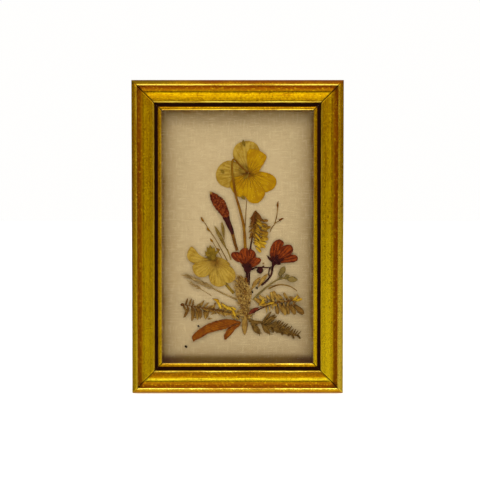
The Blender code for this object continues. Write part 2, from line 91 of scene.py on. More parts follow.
# %% [markdown]
# ## Small helpers for nodes
# Shader trees and geometry trees are wired the same way: make a node, set or link its inputs, and take
# one of its outputs. One helper does it, and a few more name the sums that come back all the time.


# %% Node helpers
def feed(tree, target, feeds):
    """Sets a node's inputs, or links them where the value is another node's output."""
    for socket, value in feeds.items():
        if isinstance(value, bpy.types.NodeSocket):
            tree.links.new(value, target.inputs[socket])
        else:
            target.inputs[socket].default_value = value


def node(tree, kind, feeds=None, out=0, **settings):
    """Adds a node, feeds its inputs, and gives one of its outputs, or the node if out is None."""
    made = tree.nodes.new(kind)
    for key, value in settings.items():
        setattr(made, key, value)
    feed(tree, made, feeds or {})
    return made if out is None else made.outputs[out]


def calc(tree, operation, first, *others, clamp=False):
    """One operation on any number of values, from left to right."""
    if not others:
        return node(tree, "ShaderNodeMath", {0: first}, operation=operation)
    for other in others:
        first = node(tree, "ShaderNodeMath", {0: first, 1: other}, operation=operation, use_clamp=clamp)
    return first


def times(tree, *values):
    """Values multiplied."""
    return calc(tree, "MULTIPLY", *values)


def plus(tree, *values, clamp=False):
    """Values added."""
    return calc(tree, "ADD", *values, clamp=clamp)


def less(tree, *values, clamp=False):
    """The first value less all the others."""
    return calc(tree, "SUBTRACT", *values, clamp=clamp)


def ease(tree, value, start, end, low=0.0, high=1.0):
    """Goes smoothly from low to high while value goes from start to end."""
    feeds = {0: value, 1: start, 2: end, 3: low, 4: high}
    return node(tree, "ShaderNodeMapRange", feeds, interpolation_type="SMOOTHSTEP")


def between(tree, value, start, full, fade, end):
    """1 while value lies between full and fade, easing off to 0 at start and at end."""
    return times(tree, ease(tree, value, start, full), ease(tree, value, end, fade))


def paint(tree, colour, *layers):
    """Lays (share, tone) layers over a colour, one after another."""
    for share, tone in layers:
        colour = node(tree, "ShaderNodeMix", {0: share, 6: colour, 7: tone}, 2, data_type="RGBA")
    return colour


def ramp(tree, value, stops):
    """A colour read off a row of (place, colour) stops."""
    made = node(tree, "ShaderNodeValToRGB", {0: value}, None)
    row = made.color_ramp.elements
    while len(row) < len(stops):
        row.new(1.0)
    for stop, (place, colour) in zip(row, stops):
        stop.position = place
        stop.color = colour
    return made.outputs[0]


def object_place(tree):
    """Where a spot lies in the object's own frame, in metres."""
    return node(tree, "ShaderNodeTexCoord", out="Object")


def join_xyz(tree, *axes):
    """A vector from up to three values, where the rest are 0."""
    return node(tree, "ShaderNodeCombineXYZ", dict(enumerate(axes)))


def clouds(tree, where, size, detail=2.0, roughness=0.5):
    """Noise from 0 to 1, with patches about size millimetres across."""
    feeds = {"Vector": where, "Scale": 1.0 / (size * MM), "Detail": detail, "Roughness": roughness}
    return node(tree, "ShaderNodeTexNoise", feeds)


def drawn_noise(tree, where, scale, detail=2.0, **more):
    """Noise that is drawn out into streaks, by a different scale on each axis."""
    stretched = node(tree, "ShaderNodeVectorMath", {0: where, 1: scale}, operation="MULTIPLY")
    feeds = {"Vector": stretched, "Scale": 1.0, "Detail": detail, **more}
    return node(tree, "ShaderNodeTexNoise", feeds)


def screen(red, green, blue):
    """A colour given as 0 to 255 on a screen, as the linear colour that shaders use."""
    linear = [((c / 255 + 0.055) / 1.055) ** 2.4 if c > 10 else c / 255 / 12.92 for c in (red, green, blue)]
    return (*linear, 1.0)

# %% [markdown]
# A node group's sockets are named here in one place. The type follows from the value that is given: a
# number, a whole number, a colour, or the name of a socket type where there is no value to give.


# %% Group and finish helpers
def start_group(name, inputs, outputs, kind="ShaderNodeTree"):
    """A new node group, with its input and output nodes."""
    group = bpy.data.node_groups.new(name, kind)
    kinds = {float: "Float", int: "Int", tuple: "Color"}
    for label, value in inputs.items():
        wanted = value if isinstance(value, str) else kinds[type(value)]
        socket = group.interface.new_socket(label, in_out="INPUT", socket_type="NodeSocket" + wanted)
        if not isinstance(value, str):
            socket.default_value = value
    for label, wanted in outputs.items():
        group.interface.new_socket(label, in_out="OUTPUT", socket_type="NodeSocket" + wanted)
    return group, group.nodes.new("NodeGroupInput").outputs, group.nodes.new("NodeGroupOutput").inputs


def place_group(tree, group, feeds=None):
    """Puts a shader group into a material and gives its outputs."""
    return node(tree, "ShaderNodeGroup", feeds, None, node_tree=group).outputs


def start_finish(name):
    """A new material with its tree and its Principled shader."""
    material = bpy.data.materials.new(name)
    material.use_nodes = True
    return material, material.node_tree, material.node_tree.nodes["Principled BSDF"]


def bump(tree, height, strength, distance):
    """A relief; distance is its depth in millimetres."""
    feeds = {"Strength": strength, "Distance": distance * MM, "Height": height}
    return node(tree, "ShaderNodeBump", feeds, "Normal")

# %% [markdown]
# ## Where on the frame?
# A gilder works along the moulding, so the finish depends on how far in from the outer edge a spot is,
# and on how far along the rail. On a mitred frame the distance to the nearest outer edge gives both. The
# silk needs the same measure, because it is painted darker beside the sight edge, partly toning and partly
# painted shade. So it is a group.

# %% Group: place on the frame
labels = ("Inset", "Run", "Height", "Mitre", "Upright", "Up", "Across")
FRAME_PLACE, _, place_out = start_group("Frame Place", {}, dict.fromkeys(labels, "Float"))
tree = FRAME_PLACE
axes = node(tree, "ShaderNodeSeparateXYZ", {0: object_place(tree)}, None).outputs
across = calc(tree, "DIVIDE", axes[0], MM)
up = calc(tree, "DIVIDE", less(tree, axes[2], MIDDLE_Z), MM)
side_inset = less(tree, FRAME_W / 2, calc(tree, "ABSOLUTE", across))
end_inset = less(tree, FRAME_H / 2, calc(tree, "ABSOLUTE", up))
on_side = calc(tree, "LESS_THAN", side_inset, end_inset)
along_side = times(tree, on_side, up)
along_end = times(tree, less(tree, 1.0, on_side), across)
inset = calc(tree, "MINIMUM", side_inset, end_inset)
mitre = calc(tree, "ABSOLUTE", less(tree, side_inset, end_inset))
height = calc(tree, "DIVIDE", axes[1], -MM)
found = (inset, plus(tree, along_side, along_end), height, mitre, on_side, up, across)
for label, value in zip(labels, found):
    tree.links.new(value, place_out[label])

# %% [markdown]
# ## Specks
# Old gilding, silk and paper all carry small dark specks. Each is a cell of a Voronoi pattern whose dot
# is kept only where a second, broader noise allows it, so that they gather instead of lying evenly.

# %% Group: specks
SPECKS, speck_in, speck_out = start_group("Specks", {"Spacing": 3.0, "Dot": 0.12, "Gather": 0.5},
                                          {"Mask": "Float"})
tree = SPECKS
spot = object_place(tree)
spacing = calc(tree, "DIVIDE", 1.0 / MM, speck_in["Spacing"])
cells = node(tree, "ShaderNodeTexVoronoi", {"Vector": spot, "Scale": spacing})
gathered = calc(tree, "GREATER_THAN", clouds(tree, spot, 9.0, 3.0), speck_in["Gather"])
dots = ease(tree, cells, speck_in["Dot"], times(tree, speck_in["Dot"], 0.5))
tree.links.new(times(tree, dots, gathered), speck_out["Mask"])

# %% [markdown]
# ## The gilding
# The frame is water-gilt in look: a thin yellow metal over red-brown bole. It is painted bright on the
# broad face and on the two thin beads as painted highlights, dull and brown in the steep cove, where the
# brown is painted shade, and black in the channel beside the sight edge. Handling has rubbed the edges
# down to the bole. One colour ramp over the distance from the outer edge lays these bands, and streaks
# along the rail, rubbed edges and specks break them up.


# %% Finish: gilding
def gilding():
    """Bands of tone and painted light across the moulding, and over them layers of wear, painted shade,
    highlights and dirt.
    """
    material, tree, shader = start_finish("gilding")
    place = place_group(tree, FRAME_PLACE)
    up, across, upright = place["Up"], place["Across"], place["Upright"]
    spot = object_place(tree)
    # The height joins the inset here, so that the streaks also run along the sides of the frame.
    streak_place = join_xyz(tree, plus(tree, place["Inset"], place["Height"]), place["Run"], upright)
    streaks = drawn_noise(tree, streak_place, (3.2, 0.07, 9.0), 3.0)
    fine = drawn_noise(tree, streak_place, (9.0, 0.9, 5.0), 4.0)
    patches = clouds(tree, spot, 9.0, 4.0, 0.6)
    leafing = clouds(tree, spot, 1.1, 5.0, 0.72)
    wander = times(tree, less(tree, clouds(tree, spot, 4.0, 3.0), 0.5), 0.35)
    inset = plus(tree, place["Inset"], wander)

    # Painted light in the bands: the pale band just inside the cove is a painted highlight, and the brown
    # band in the steep cove is painted shade over a browner gold.
    gold, deep, pale = screen(206, 158, 4), screen(176, 126, 4), screen(222, 176, 6)
    brown, dark = screen(132, 70, 3), screen(24, 4, 6)
    stops = [(0.0, deep), (0.12, deep), (0.15, gold), (0.19, gold), (0.21, brown), (0.29, brown),
             (0.37, deep), (0.42, pale), (0.52, gold), (0.745, gold), (0.76, dark), (0.875, dark),
             (0.892, deep), (0.95, gold)]
    bands = ramp(tree, calc(tree, "DIVIDE", inset, SIGHT_U), stops)
    black = between(tree, inset, 10.55, 10.7, 12.4, 12.62)
    leafed = less(tree, 1.0, black, clamp=True)
    steep = between(tree, inset, 2.6, 3.1, 4.6, 5.6)

    # Thin leaf lets the bole through in streaks and clouds.
    worn = ease(tree, plus(tree, times(tree, streaks, 0.6), times(tree, patches, 0.5)), 0.46, 0.74)
    worn = times(tree, worn, less(tree, 0.7, black, clamp=True))
    thin = times(tree, ease(tree, leafing, 0.5, 0.68, 0.0, 0.55), leafed)
    thick = times(tree, ease(tree, leafing, 0.46, 0.34, 0.0, 0.5), leafed)
    # Painted light: the lower half of the upright rails is painted brighter, most of all on the right, and
    # the outer edge of the right rail brighter still.
    leaf_off_cove = less(tree, leafed, times(tree, steep, 0.97), clamp=True)
    lit_sides = times(tree, ease(tree, up, 45.0, -55.0), ease(tree, across, -20.0, 20.0, 0.45, 0.95), upright,
                  leaf_off_cove)
    outside = times(tree, lit_sides, ease(tree, inset, 3.2, 2.8), ease(tree, across, 0.0, 5.0))
    # Painted light on the lower rail: its face is painted a browner gold as painted shade, its steep cove
    # darker as painted shade, and the swell beside the cove carries a painted highlight band, broken by
    # streaks.
    lower = times(tree, ease(tree, up, 14.0 - FRAME_H / 2, 12.0 - FRAME_H / 2), less(tree, 1.0, upright))
    held = times(tree, between(tree, inset, 7.4, 8.0, 10.1, 10.4), lower, 0.7)
    lower_highlight = times(tree, between(tree, inset, 5.2, 6.2, 6.8, 7.6), lower,
                    ease(tree, streaks, 0.66, 0.4, 0.25, 1.0))
    lower_cove_shade = times(tree, steep, lower, 0.55)
    # Painted shade: the upper edge of the top rail is painted browner, more so away from the left corner, and
    # a dark band along the face is painted shade.
    top_edge_shade = times(tree, ease(tree, up, FRAME_H / 2 - 2.3, FRAME_H / 2 - 1.7),
                  ease(tree, patches, 0.3, 0.55, 0.55, 0.9))
    top_edge_shade_tone = paint(tree, screen(112, 88, 5), (ease(tree, across, -40.0, -8.0), screen(130, 66, 3)))
    line = times(tree, between(tree, inset, 8.2, 8.6, 9.0, 9.4), ease(tree, fine, 0.46, 0.62), 0.5)
    # The outer edge, the two beads and the sight edge: a painted highlight along them, weaker on the upright
    # rails, and red bole rubbed through.
    crest = ease(tree, inset, 0.3, 0.0)
    for centre, half in ((2.6, 0.45), (10.4, 0.4), (14.1, 0.3)):
        near = ease(tree, calc(tree, "ABSOLUTE", less(tree, inset, centre)), half, 0.0)
        crest = calc(tree, "MAXIMUM", crest, near)
    bright = times(tree, crest, ease(tree, streaks, 0.62, 0.42, 0.3, 0.9),
                   less(tree, 1.0, times(tree, upright, 0.7)))
    rubbed = times(tree, crest, ease(tree, fine, 0.58, 0.7))
    # Specks all over, a cluster of small dents in the upper rail, and the dark joints of the mitres.
    specks = place_group(tree, SPECKS, {"Spacing": 1.1, "Dot": 0.2, "Gather": 0.49})["Mask"]
    dents = place_group(tree, SPECKS, {"Spacing": 1.2, "Dot": 0.34, "Gather": 0.0})["Mask"]
    off_run = calc(tree, "DIVIDE", less(tree, place["Run"], 15.2), 1.7)
    off_inset = less(tree, inset, 6.9)
    squares = plus(tree, times(tree, off_run, off_run), times(tree, off_inset, off_inset))
    knock = times(tree, ease(tree, calc(tree, "POWER", squares, 0.5), 2.4, 1.2), ease(tree, up, 50.0, 52.0))
    specks = calc(tree, "MAXIMUM", specks, times(tree, dents, knock))
    joint = times(tree, ease(tree, place["Mitre"], 0.6, 0.2), ease(tree, inset, 2.2, 3.0, 0.35, 0.9))
    dirt = calc(tree, "MAXIMUM", times(tree, specks, 0.8), joint)

    colour = paint(
        tree, bands, (worn, screen(156, 88, 4)), (lit_sides, screen(255, 214, 22)),
        (outside, screen(255, 214, 66)), (held, screen(178, 104, 2)), (lower_highlight, screen(255, 226, 40)),
        (lower_cove_shade, screen(112, 66, 2)), (thin, screen(132, 76, 4)), (thick, screen(240, 196, 12)),
        (top_edge_shade, top_edge_shade_tone), (line, screen(110, 60, 4)), (bright, screen(255, 232, 96)),
        (times(tree, rubbed, 0.7), screen(120, 40, 12)), (dirt, screen(30, 12, 6)))
    dull = calc(tree, "MAXIMUM", black, dirt, times(tree, rubbed, 0.6))
    metal = less(tree, 0.78, dull, times(tree, steep, 0.25), clamp=True)
    roughness = ease(tree, plus(tree, times(tree, fine, 0.5), times(tree, dull, 0.6)), 0.1, 0.8, 0.16, 0.55)
    roughness = less(tree, roughness, times(tree, crest, 0.12))
    relief = plus(tree, times(tree, streaks, 0.6), times(tree, fine, 0.4),
                  times(tree, clouds(tree, spot, 1.3, 3.0), 0.6), times(tree, dirt, -0.5))
    feed(tree, shader, {"Base Color": colour, "Metallic": metal, "Roughness": roughness,
                        "Specular IOR Level": 0.12, "Specular Tint": screen(214, 160, 40),
                        "Normal": bump(tree, relief, 0.5, 0.13)})
    return material


GILDING = gilding()

# %% [markdown]
# ## Bare wood
# The back of the rails and the rabbet were never gilded. Softwood shows growth lines along each rail,
# darker latewood between pale earlywood, and a little grime in patches.


# %% Finish: bare wood
def bare_wood(name, light, dark, ring, lengthwise):
    """Softwood; ring is how close its growth lines lie, and lengthwise names the way they run."""
    material, tree, shader = start_finish(name)
    place = place_group(tree, FRAME_PLACE)
    crosswise = {"Run": "Inset", "Up": "Across"}[lengthwise]
    grain_place = join_xyz(tree, place[crosswise], place[lengthwise], place["Height"])
    lines = drawn_noise(tree, grain_place, (ring, 0.03, ring), 5.0, Distortion=0.6)
    fibres = drawn_noise(tree, grain_place, (9.0, 0.25, 9.0), 3.0)
    grime = ease(tree, clouds(tree, object_place(tree), 18.0, 4.0), 0.52, 0.75, 0.0, 0.5)
    colour = paint(tree, light, (ease(tree, lines, 0.42, 0.62), dark),
                   (ease(tree, fibres, 0.5, 0.75, 0.0, 0.35), screen(92, 60, 34)),
                   (grime, screen(80, 56, 36)))
    feed(tree, shader, {"Base Color": colour, "Roughness": ease(tree, fibres, 0.3, 0.7, 0.62, 0.82),
                        "Normal": bump(tree, plus(tree, lines, fibres), 0.4, 0.15)})
    return material


RAIL_WOOD = bare_wood("rail_wood", screen(196, 158, 108), screen(166, 124, 78), 1.7, "Run")
BOARD_WOOD = bare_wood("board_wood", screen(172, 132, 88), screen(148, 108, 70), 0.8, "Up")

# %% [markdown]
# ## Glass, card and metal
# The picture glass bends and mirrors light, but lamps must reach the silk through it, or it would lie in
# the dark behind a sheet of traced glass. So rays that come from lamps and from dull surfaces pass a
# plain Transparent shader instead. Card, tarnished brass and rusty steel get their own clouds and scratches.


# %% Finish: glass
def picture_glass():
    """Glass to the eye, and plain air to light that has been scattered."""
    material, tree, shader = start_finish("picture_glass")
    feed(tree, shader, {"Base Color": (0.97, 0.985, 0.97, 1.0), "Roughness": 0.02, "IOR": 1.5,
                        "Transmission Weight": 1.0})
    rays = node(tree, "ShaderNodeLightPath", out=None).outputs
    passing = calc(tree, "MAXIMUM", rays["Is Shadow Ray"], rays["Is Diffuse Ray"])
    clear = node(tree, "ShaderNodeBsdfTransparent", {"Color": (0.95, 0.97, 0.95, 1.0)})
    blend = node(tree, "ShaderNodeMixShader", {0: passing, 1: shader.outputs[0], 2: clear})
    tree.links.new(blend, tree.nodes["Material Output"].inputs["Surface"])
    return material


# %% Finishes: card and metal
def pulp_finish(name, light, dark):
    """Card or wadding: soft clouds of two tones with a fine fibrous relief."""
    material, tree, shader = start_finish(name)
    spot = object_place(tree)
    pulp = clouds(tree, spot, 0.5, 4.0)
    colour = paint(tree, light, (ease(tree, clouds(tree, spot, 14.0, 4.0), 0.35, 0.7), dark),
                   (ease(tree, pulp, 0.5, 0.8, 0.0, 0.3), screen(140, 118, 86)))
    feed(tree, shader, {"Base Color": colour, "Roughness": ease(tree, pulp, 0.3, 0.7, 0.8, 0.92),
                        "Normal": bump(tree, pulp, 0.25, 0.05)})
    return material


def old_metal(name, bright, tarnish, cover, roughness):
    """Metal with clouds of tarnish; cover is the noise level above which it is tarnished."""
    material, tree, shader = start_finish(name)
    spot = object_place(tree)
    cloud = clouds(tree, spot, 2.2, 5.0, 0.65)
    scratches = drawn_noise(tree, spot, (400.0, 900.0, 6000.0))
    covered = ease(tree, cloud, cover, cover + 0.16)
    colour = paint(tree, bright, (covered, tarnish), (ease(tree, scratches, 0.62, 0.7, 0.0, 0.5), bright))
    feed(tree, shader, {"Base Color": colour, "Metallic": ease(tree, covered, 0.0, 1.0, 1.0, 0.35),
                        "Roughness": ease(tree, covered, 0.0, 1.0, roughness, roughness + 0.35),
                        "Normal": bump(tree, plus(tree, cloud, scratches), 0.3, 0.04)})
    return material


KEPT_NODES = {
    "glass_pane": picture_glass(),
    "mount_card": pulp_finish("card", screen(206, 192, 160), screen(176, 152, 112)),
    "backing_board": BOARD_WOOD,
    "sawtooth_hanger": old_metal("hanger_brass", screen(206, 166, 84), screen(104, 74, 34), 0.5, 0.3),
}
STEEL = old_metal("steel", screen(150, 146, 140), screen(96, 58, 34), 0.52, 0.34)
PINS = ("brad_top", "brad_bottom", "brad_left", "brad_right", "hanger_nail_left", "hanger_nail_right")
KEPT_NODES |= dict.fromkeys(PINS, STEEL)
for name, finish in KEPT_NODES.items():
    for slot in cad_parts[name].material_slots:
        slot.material = finish
print("CAD nodes with a new finish:", len(KEPT_NODES))

# %% [markdown]
# ## Running a geometry tree
# The moulding, the florets, the hairs and the grains all come from Geometry Nodes trees that are built
# here. Each tree is run once on a starting mesh. The outcome is copied out as a plain mesh, and the
# object that carried the modifier is thrown away.


# %% Geometry tree and piece helpers
def grow(name, mesh, tree, settings):
    """Runs a geometry tree on a mesh with these inputs, and gives the result as a plain mesh."""
    seedling = bpy.data.objects.new(name, mesh)
    modifier = seedling.modifiers.new(name, "NODES")
    modifier.node_group = tree
    sockets = {item.name: item.identifier for item in tree.interface.items_tree if item.in_out == "INPUT"}
    for label, value in settings.items():
        modifier[sockets[label]] = value
    bpy.context.scene.collection.objects.link(seedling)
    graph = bpy.context.evaluated_depsgraph_get()
    grown = bpy.data.meshes.new_from_object(seedling.evaluated_get(graph), depsgraph=graph)
    bpy.data.objects.remove(seedling)
    return grown


def settle(name, mesh, replaced=(), sharp=50):
    """Makes a finished mesh a piece of the picture, riding on its one body."""
    mesh.shade_smooth()
    mesh.set_sharp_from_angle(angle=math.radians(sharp))
    piece = bpy.data.objects.new(name, mesh)
    bpy.context.scene.collection.objects.link(piece)
    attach(piece, "root")
    if replaced:
        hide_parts(*replaced)
    return piece


# %% [markdown]
# ## The moulding
# A rail is one section swept along a line and cut off at 45 degrees at both ends. That is a rule, so a
# geometry tree makes it: sweep the section along a line from -1 to 1, then stretch each lengthwise line
# to the length that the mitre leaves it. Rows crowd towards the ends, where the two rails meet in a
# fine open joint, and the front wavers a little, as hand-laid gesso does.


# %% The moulding's section
def curve_piece(a, b, c, d, steps):
    """Points from b on towards c, on a smooth curve that also heeds a and d."""
    piece = []
    for t in (i / steps for i in range(steps)):
        piece.append(0.5 * (2 * b + (c - a) * t + (2 * a - 5 * b + 4 * c - d) * t * t
                            + (3 * b - a - 3 * c + d) * t ** 3))
    return piece


def smooth_path(points, steps=6):
    """A smooth curve through the points."""
    points = [Vector(p) for p in points]
    points = [2 * points[0] - points[1], *points, 2 * points[-1] - points[-2]]
    path = []
    for k in range(1, len(points) - 2):
        path += curve_piece(*points[k - 1 : k + 3], steps)
    return [*path, points[-2]]


def arc(centre, radius, start, end, steps):
    """Points on an arc, angles in degrees."""
    turns = [math.radians(start + (end - start) * i / steps) for i in range(steps + 1)]
    return [Vector((centre[0] + radius * math.cos(t), centre[1] + radius * math.sin(t))) for t in turns]


def moulding_section():
    """The moulding's outline as a closed wire: height above the back along X, inset along Y."""
    outer = [Vector((0.0, 0.0)), *smooth_path([(0.0, 13.3), (0.08, 14.0), (0.45, 14.8), (1.1, 15.6)], 4)]
    bead = arc((2.1, 15.7), 0.8, 125, 0, 14)
    cove = arc((6.1, 16.1), 3.3, 190, 258, 16)
    face = smooth_path([(6.3, 12.96), (7.4, 13.2), (8.8, 13.42), (10.0, 13.52)], 4)
    arris = arc((10.15, 13.05), 0.45, 80, 0, 8)
    quirk = [Vector((10.75, 12.05)), Vector((11.6, 11.98)), Vector((12.45, 11.95))]
    lip = smooth_path([(12.65, 12.3), (13.1, 12.62), (13.7, 12.6), (14.15, 12.3), (SIGHT_U, 11.9)], 4)
    behind = [Vector((SIGHT_U, SEAT_H)), Vector((RABBET_U, SEAT_H)), Vector((RABBET_U, 0.0))]
    outline = outer + bead + cove + face + arris + quirk + lip + behind
    wire = bpy.data.meshes.new("section")
    count = len(outline)
    points = [(h * MM, u * MM, 0.0) for u, h in outline]
    wire.from_pydata(points, [(i, (i + 1) % count) for i in range(count)], [])
    return wire


# %% Geometry tree: one mitred rail
def rail_tree():
    """Sweeps a section, mitres its ends and lets its front waver; lengths are in metres."""
    inputs = {"Section": "Geometry", "Length": 0.1, "Mitre Gap": 0.00004, "Rows": 140, "Waver": 0.00007,
              "Groove": 0.00022, "Seed": 0.0, "Gilding": "Material", "Wood": "Material"}
    tree, given, result = start_group("Mitred Rail", inputs, {"Geometry": "Geometry"}, "GeometryNodeTree")
    line = node(tree, "GeometryNodeCurvePrimitiveLine", {"Start": (-1.0, 0.0, 0.0), "End": (1.0, 0.0, 0.0)})
    line = node(tree, "GeometryNodeResampleCurve", {"Curve": line, "Count": given["Rows"]})
    section = node(tree, "GeometryNodeMeshToCurve", {"Mesh": given["Section"]})
    swept = node(tree, "GeometryNodeCurveToMesh", {"Curve": line, "Profile Curve": section,
                                                   "Fill Caps": True})
    place = node(tree, "GeometryNodeInputPosition")
    x, y, z = node(tree, "ShaderNodeSeparateXYZ", {0: place}, None).outputs
    # Rows crowd towards the ends, and z makes each lengthwise line as long as the mitre leaves it.
    half = plus(tree, less(tree, times(tree, given["Length"], 0.5), given["Mitre Gap"]), z)
    new_x = times(tree, calc(tree, "SINE", times(tree, x, math.pi / 2)), half)
    left_over = less(tree, half, calc(tree, "ABSOLUTE", new_x))
    fall = calc(tree, "EXPONENT", calc(tree, "DIVIDE", left_over, -0.0003))
    front = ease(tree, y, -0.0112, -0.0126)
    where = join_xyz(tree, times(tree, new_x, 70.0), times(tree, z, 260.0))
    ripple = {"Vector": where, "W": given["Seed"], "Scale": 1.0, "Detail": 3.0}
    deep = node(tree, "ShaderNodeTexNoise", ripple, noise_dimensions="4D")
    ripple = {"Vector": where, "W": plus(tree, given["Seed"], 7.0), "Scale": 1.3, "Detail": 2.0}
    sideways = node(tree, "ShaderNodeTexNoise", ripple, noise_dimensions="4D")
    sink = plus(tree, times(tree, given["Groove"], fall), times(tree, given["Waver"], deep))
    new_y = plus(tree, y, times(tree, sink, front))
    new_z = less(tree, z, times(tree, given["Waver"], sideways, front))
    moved = join_xyz(tree, new_x, new_y, new_z)
    rail = node(tree, "GeometryNodeSetPosition", {"Geometry": swept, "Position": moved})
    rail = node(tree, "GeometryNodeSetMaterial", {"Geometry": rail, "Material": given["Gilding"]})
    # The back and the rabbet stay bare.
    at_back = calc(tree, "GREATER_THAN", y, -0.0003)
    in_rabbet = times(tree, calc(tree, "LESS_THAN", z, -0.0111), calc(tree, "GREATER_THAN", y, -0.01165))
    bare = calc(tree, "MAXIMUM", at_back, in_rabbet)
    rail = node(tree, "GeometryNodeSetMaterial", {"Geometry": rail, "Selection": bare,
                                                  "Material": given["Wood"]})
    tree.links.new(rail, result["Geometry"])
    return tree

# %% The four rails
RAIL = rail_tree()
RAILS = (("rail_top", FRAME_W, 0, (0.0, FRAME_H / 2)), ("rail_right", FRAME_H, 1, (FRAME_W / 2, 0.0)),
         ("rail_bottom", FRAME_W, 2, (0.0, -FRAME_H / 2)), ("rail_left", FRAME_H, 3, (-FRAME_W / 2, 0.0)))
for seed, (name, length, quarter, (x, z)) in enumerate(RAILS):
    settings = {"Length": length * MM, "Rows": int(length * 1.1), "Seed": 3.0 * seed, "Gilding": GILDING,
                "Wood": RAIL_WOOD}
    mesh = grow(name, moulding_section(), RAIL, settings)
    mesh.transform(Matrix.Translation(at(x, z, 0.0)) @ Matrix.Rotation(quarter * math.pi / 2, 4, "Y"))
    settle("gilded_" + name, mesh, [name], sharp=40)
    print(name, len(mesh.polygons), "faces")

# %% [markdown]
# ## The silk
# The ground is a plain woven silk, stretched over thin wadding on card. It has yellowed, and where it
# meets the frame it is painted browner, partly real toning and partly painted shade, with a band of painted
# shade along the bottom. Threads run both ways, with slubs thicker than the rest. The sheet is modelled as
# a sheet, swelling gently with the wadding, and turned down at its edge.


# %% Finish: silk
def silk_finish():
    """Yellowed silk with painted shade by the frame and along the bottom, toning, threads and specks."""
    material, tree, shader = start_finish("silk")
    place = place_group(tree, FRAME_PLACE)
    spot = object_place(tree)
    ragged = times(tree, less(tree, clouds(tree, spot, 16.0, 3.0), 0.5), 3.4)
    # Painted shade and toning: the silk is painted darker towards the sight edge, over a wider band on the
    # lower half.
    beside = less(tree, place["Inset"], SIGHT_U)
    low_half = ease(tree, place["Up"], -40.0, -62.0)
    reach = calc(tree, "DIVIDE", plus(tree, beside, ragged), plus(tree, 17.0, low_half))
    stops = [(0.0, screen(134, 98, 46)), (0.07, screen(162, 132, 84)), (0.22, screen(176, 147, 105)),
             (0.5, screen(185, 157, 116)), (1.0, screen(193, 164, 123))]
    # Painted shade: a dark brown band along the lower rail, darker still towards the corners.
    lip = SIGHT_U - FRAME_H / 2
    bottom_shade = ease(tree, plus(tree, place["Up"], times(tree, ragged, 0.12)), 4.8 + lip, 1.2 + lip)
    to_corner = ease(tree, calc(tree, "ABSOLUTE", place["Across"]), 22.0, 35.0)
    bottom_shade_colour = paint(tree, screen(112, 78, 20), (to_corner, screen(86, 46, 14)))
    stain = ease(tree, clouds(tree, spot, 22.0, 4.0, 0.6), 0.5, 0.78, 0.0, 0.35)
    # Threads run both ways: thick slubs are darker, thin places let the wadding shine through.
    weft, warp = (drawn_noise(tree, spot, scale) for scale in ((200.0, 1.0, 1500.0), (1500.0, 1.0, 200.0)))
    slubs = calc(tree, "MAXIMUM", ease(tree, weft, 0.5, 0.72), ease(tree, warp, 0.56, 0.76))
    pale = times(tree, ease(tree, calc(tree, "MINIMUM", weft, warp), 0.46, 0.3),
                 less(tree, 0.2, times(tree, bottom_shade, 0.17)))
    feeds = {"Vector": spot, "Scale": 620.0, "Distortion": 0.6, "Detail": 1.0}
    threads = [node(tree, "ShaderNodeTexWave", feeds, "Fac", bands_direction=way) for way in ("X", "Z")]
    specks = place_group(tree, SPECKS, {"Spacing": 2.6, "Dot": 0.07, "Gather": 0.6})["Mask"]
    colour = paint(tree, ramp(tree, reach, stops), (times(tree, bottom_shade, 0.9), bottom_shade_colour),
                   (stain, screen(184, 152, 104)), (times(tree, slubs, 0.17), screen(146, 116, 70)),
                   (pale, screen(232, 206, 164)), (times(tree, specks, 0.6), screen(96, 70, 40)))
    relief = plus(tree, times(tree, *threads, 0.6), slubs)
    feed(tree, shader, {"Base Color": colour, "Roughness": ease(tree, relief, 0.0, 1.2, 0.5, 0.66),
                        "Sheen Weight": 0.1, "Sheen Roughness": 0.4, "Specular IOR Level": 0.2,
                        "Normal": bump(tree, relief, 0.5, 0.05)})
    return material

# %% Silk and wadding
CLEARANCE = 0.8  # from the pad to the rabbet's wall
PAD_HALF_W = FRAME_W / 2 - RABBET_U - CLEARANCE
PAD_HALF_H = FRAME_H / 2 - RABBET_U - CLEARANCE
PAD_EDGE_H, PAD_CROWN_H = 5.5, 6.9  # heights of the silk at its edge and in the middle
SILK_THICK = 0.1
TURNED_IN = 0.9  # how far the silk is turned down at the pad's edge


def silk_height(x, z):
    """Height of the silk over the wadding."""
    swell = (1 - min(1.0, abs(x / PAD_HALF_W)) ** 4) * (1 - min(1.0, abs(z / PAD_HALF_H)) ** 6)
    pucker = noise.noise(Vector((x * 0.12, z * 0.1, 4.0))) * 0.07
    return PAD_EDGE_H + (PAD_CROWN_H - PAD_EDGE_H) * swell + pucker * swell


def pad_grid(columns, rows, sink, turned_to):
    """The swelling face of the pad, sunk by so much, with its edge turned down to a height."""
    shape = bmesh.new()
    grid = []
    for j in range(-1, rows + 2):
        line = []
        for i in range(-1, columns + 2):
            x = PAD_HALF_W * (2 * min(max(i, 0), columns) / columns - 1)
            z = PAD_HALF_H * (2 * min(max(j, 0), rows) / rows - 1)
            outside = i in (-1, columns + 1) or j in (-1, rows + 1)
            line.append(shape.verts.new(at(x, z, turned_to if outside else silk_height(x, z) - sink)))
        grid.append(line)
    for low, high in zip(grid, grid[1:]):
        for i in range(columns + 2):
            shape.faces.new((low[i], low[i + 1], high[i + 1], high[i]))
    bmesh.ops.remove_doubles(shape, verts=shape.verts, dist=1e-7)
    return shape


def mesh_of(shape, name):
    """A mesh out of a bmesh, which is freed."""
    mesh = bpy.data.meshes.new(name)
    shape.to_mesh(mesh)
    shape.free()
    return mesh


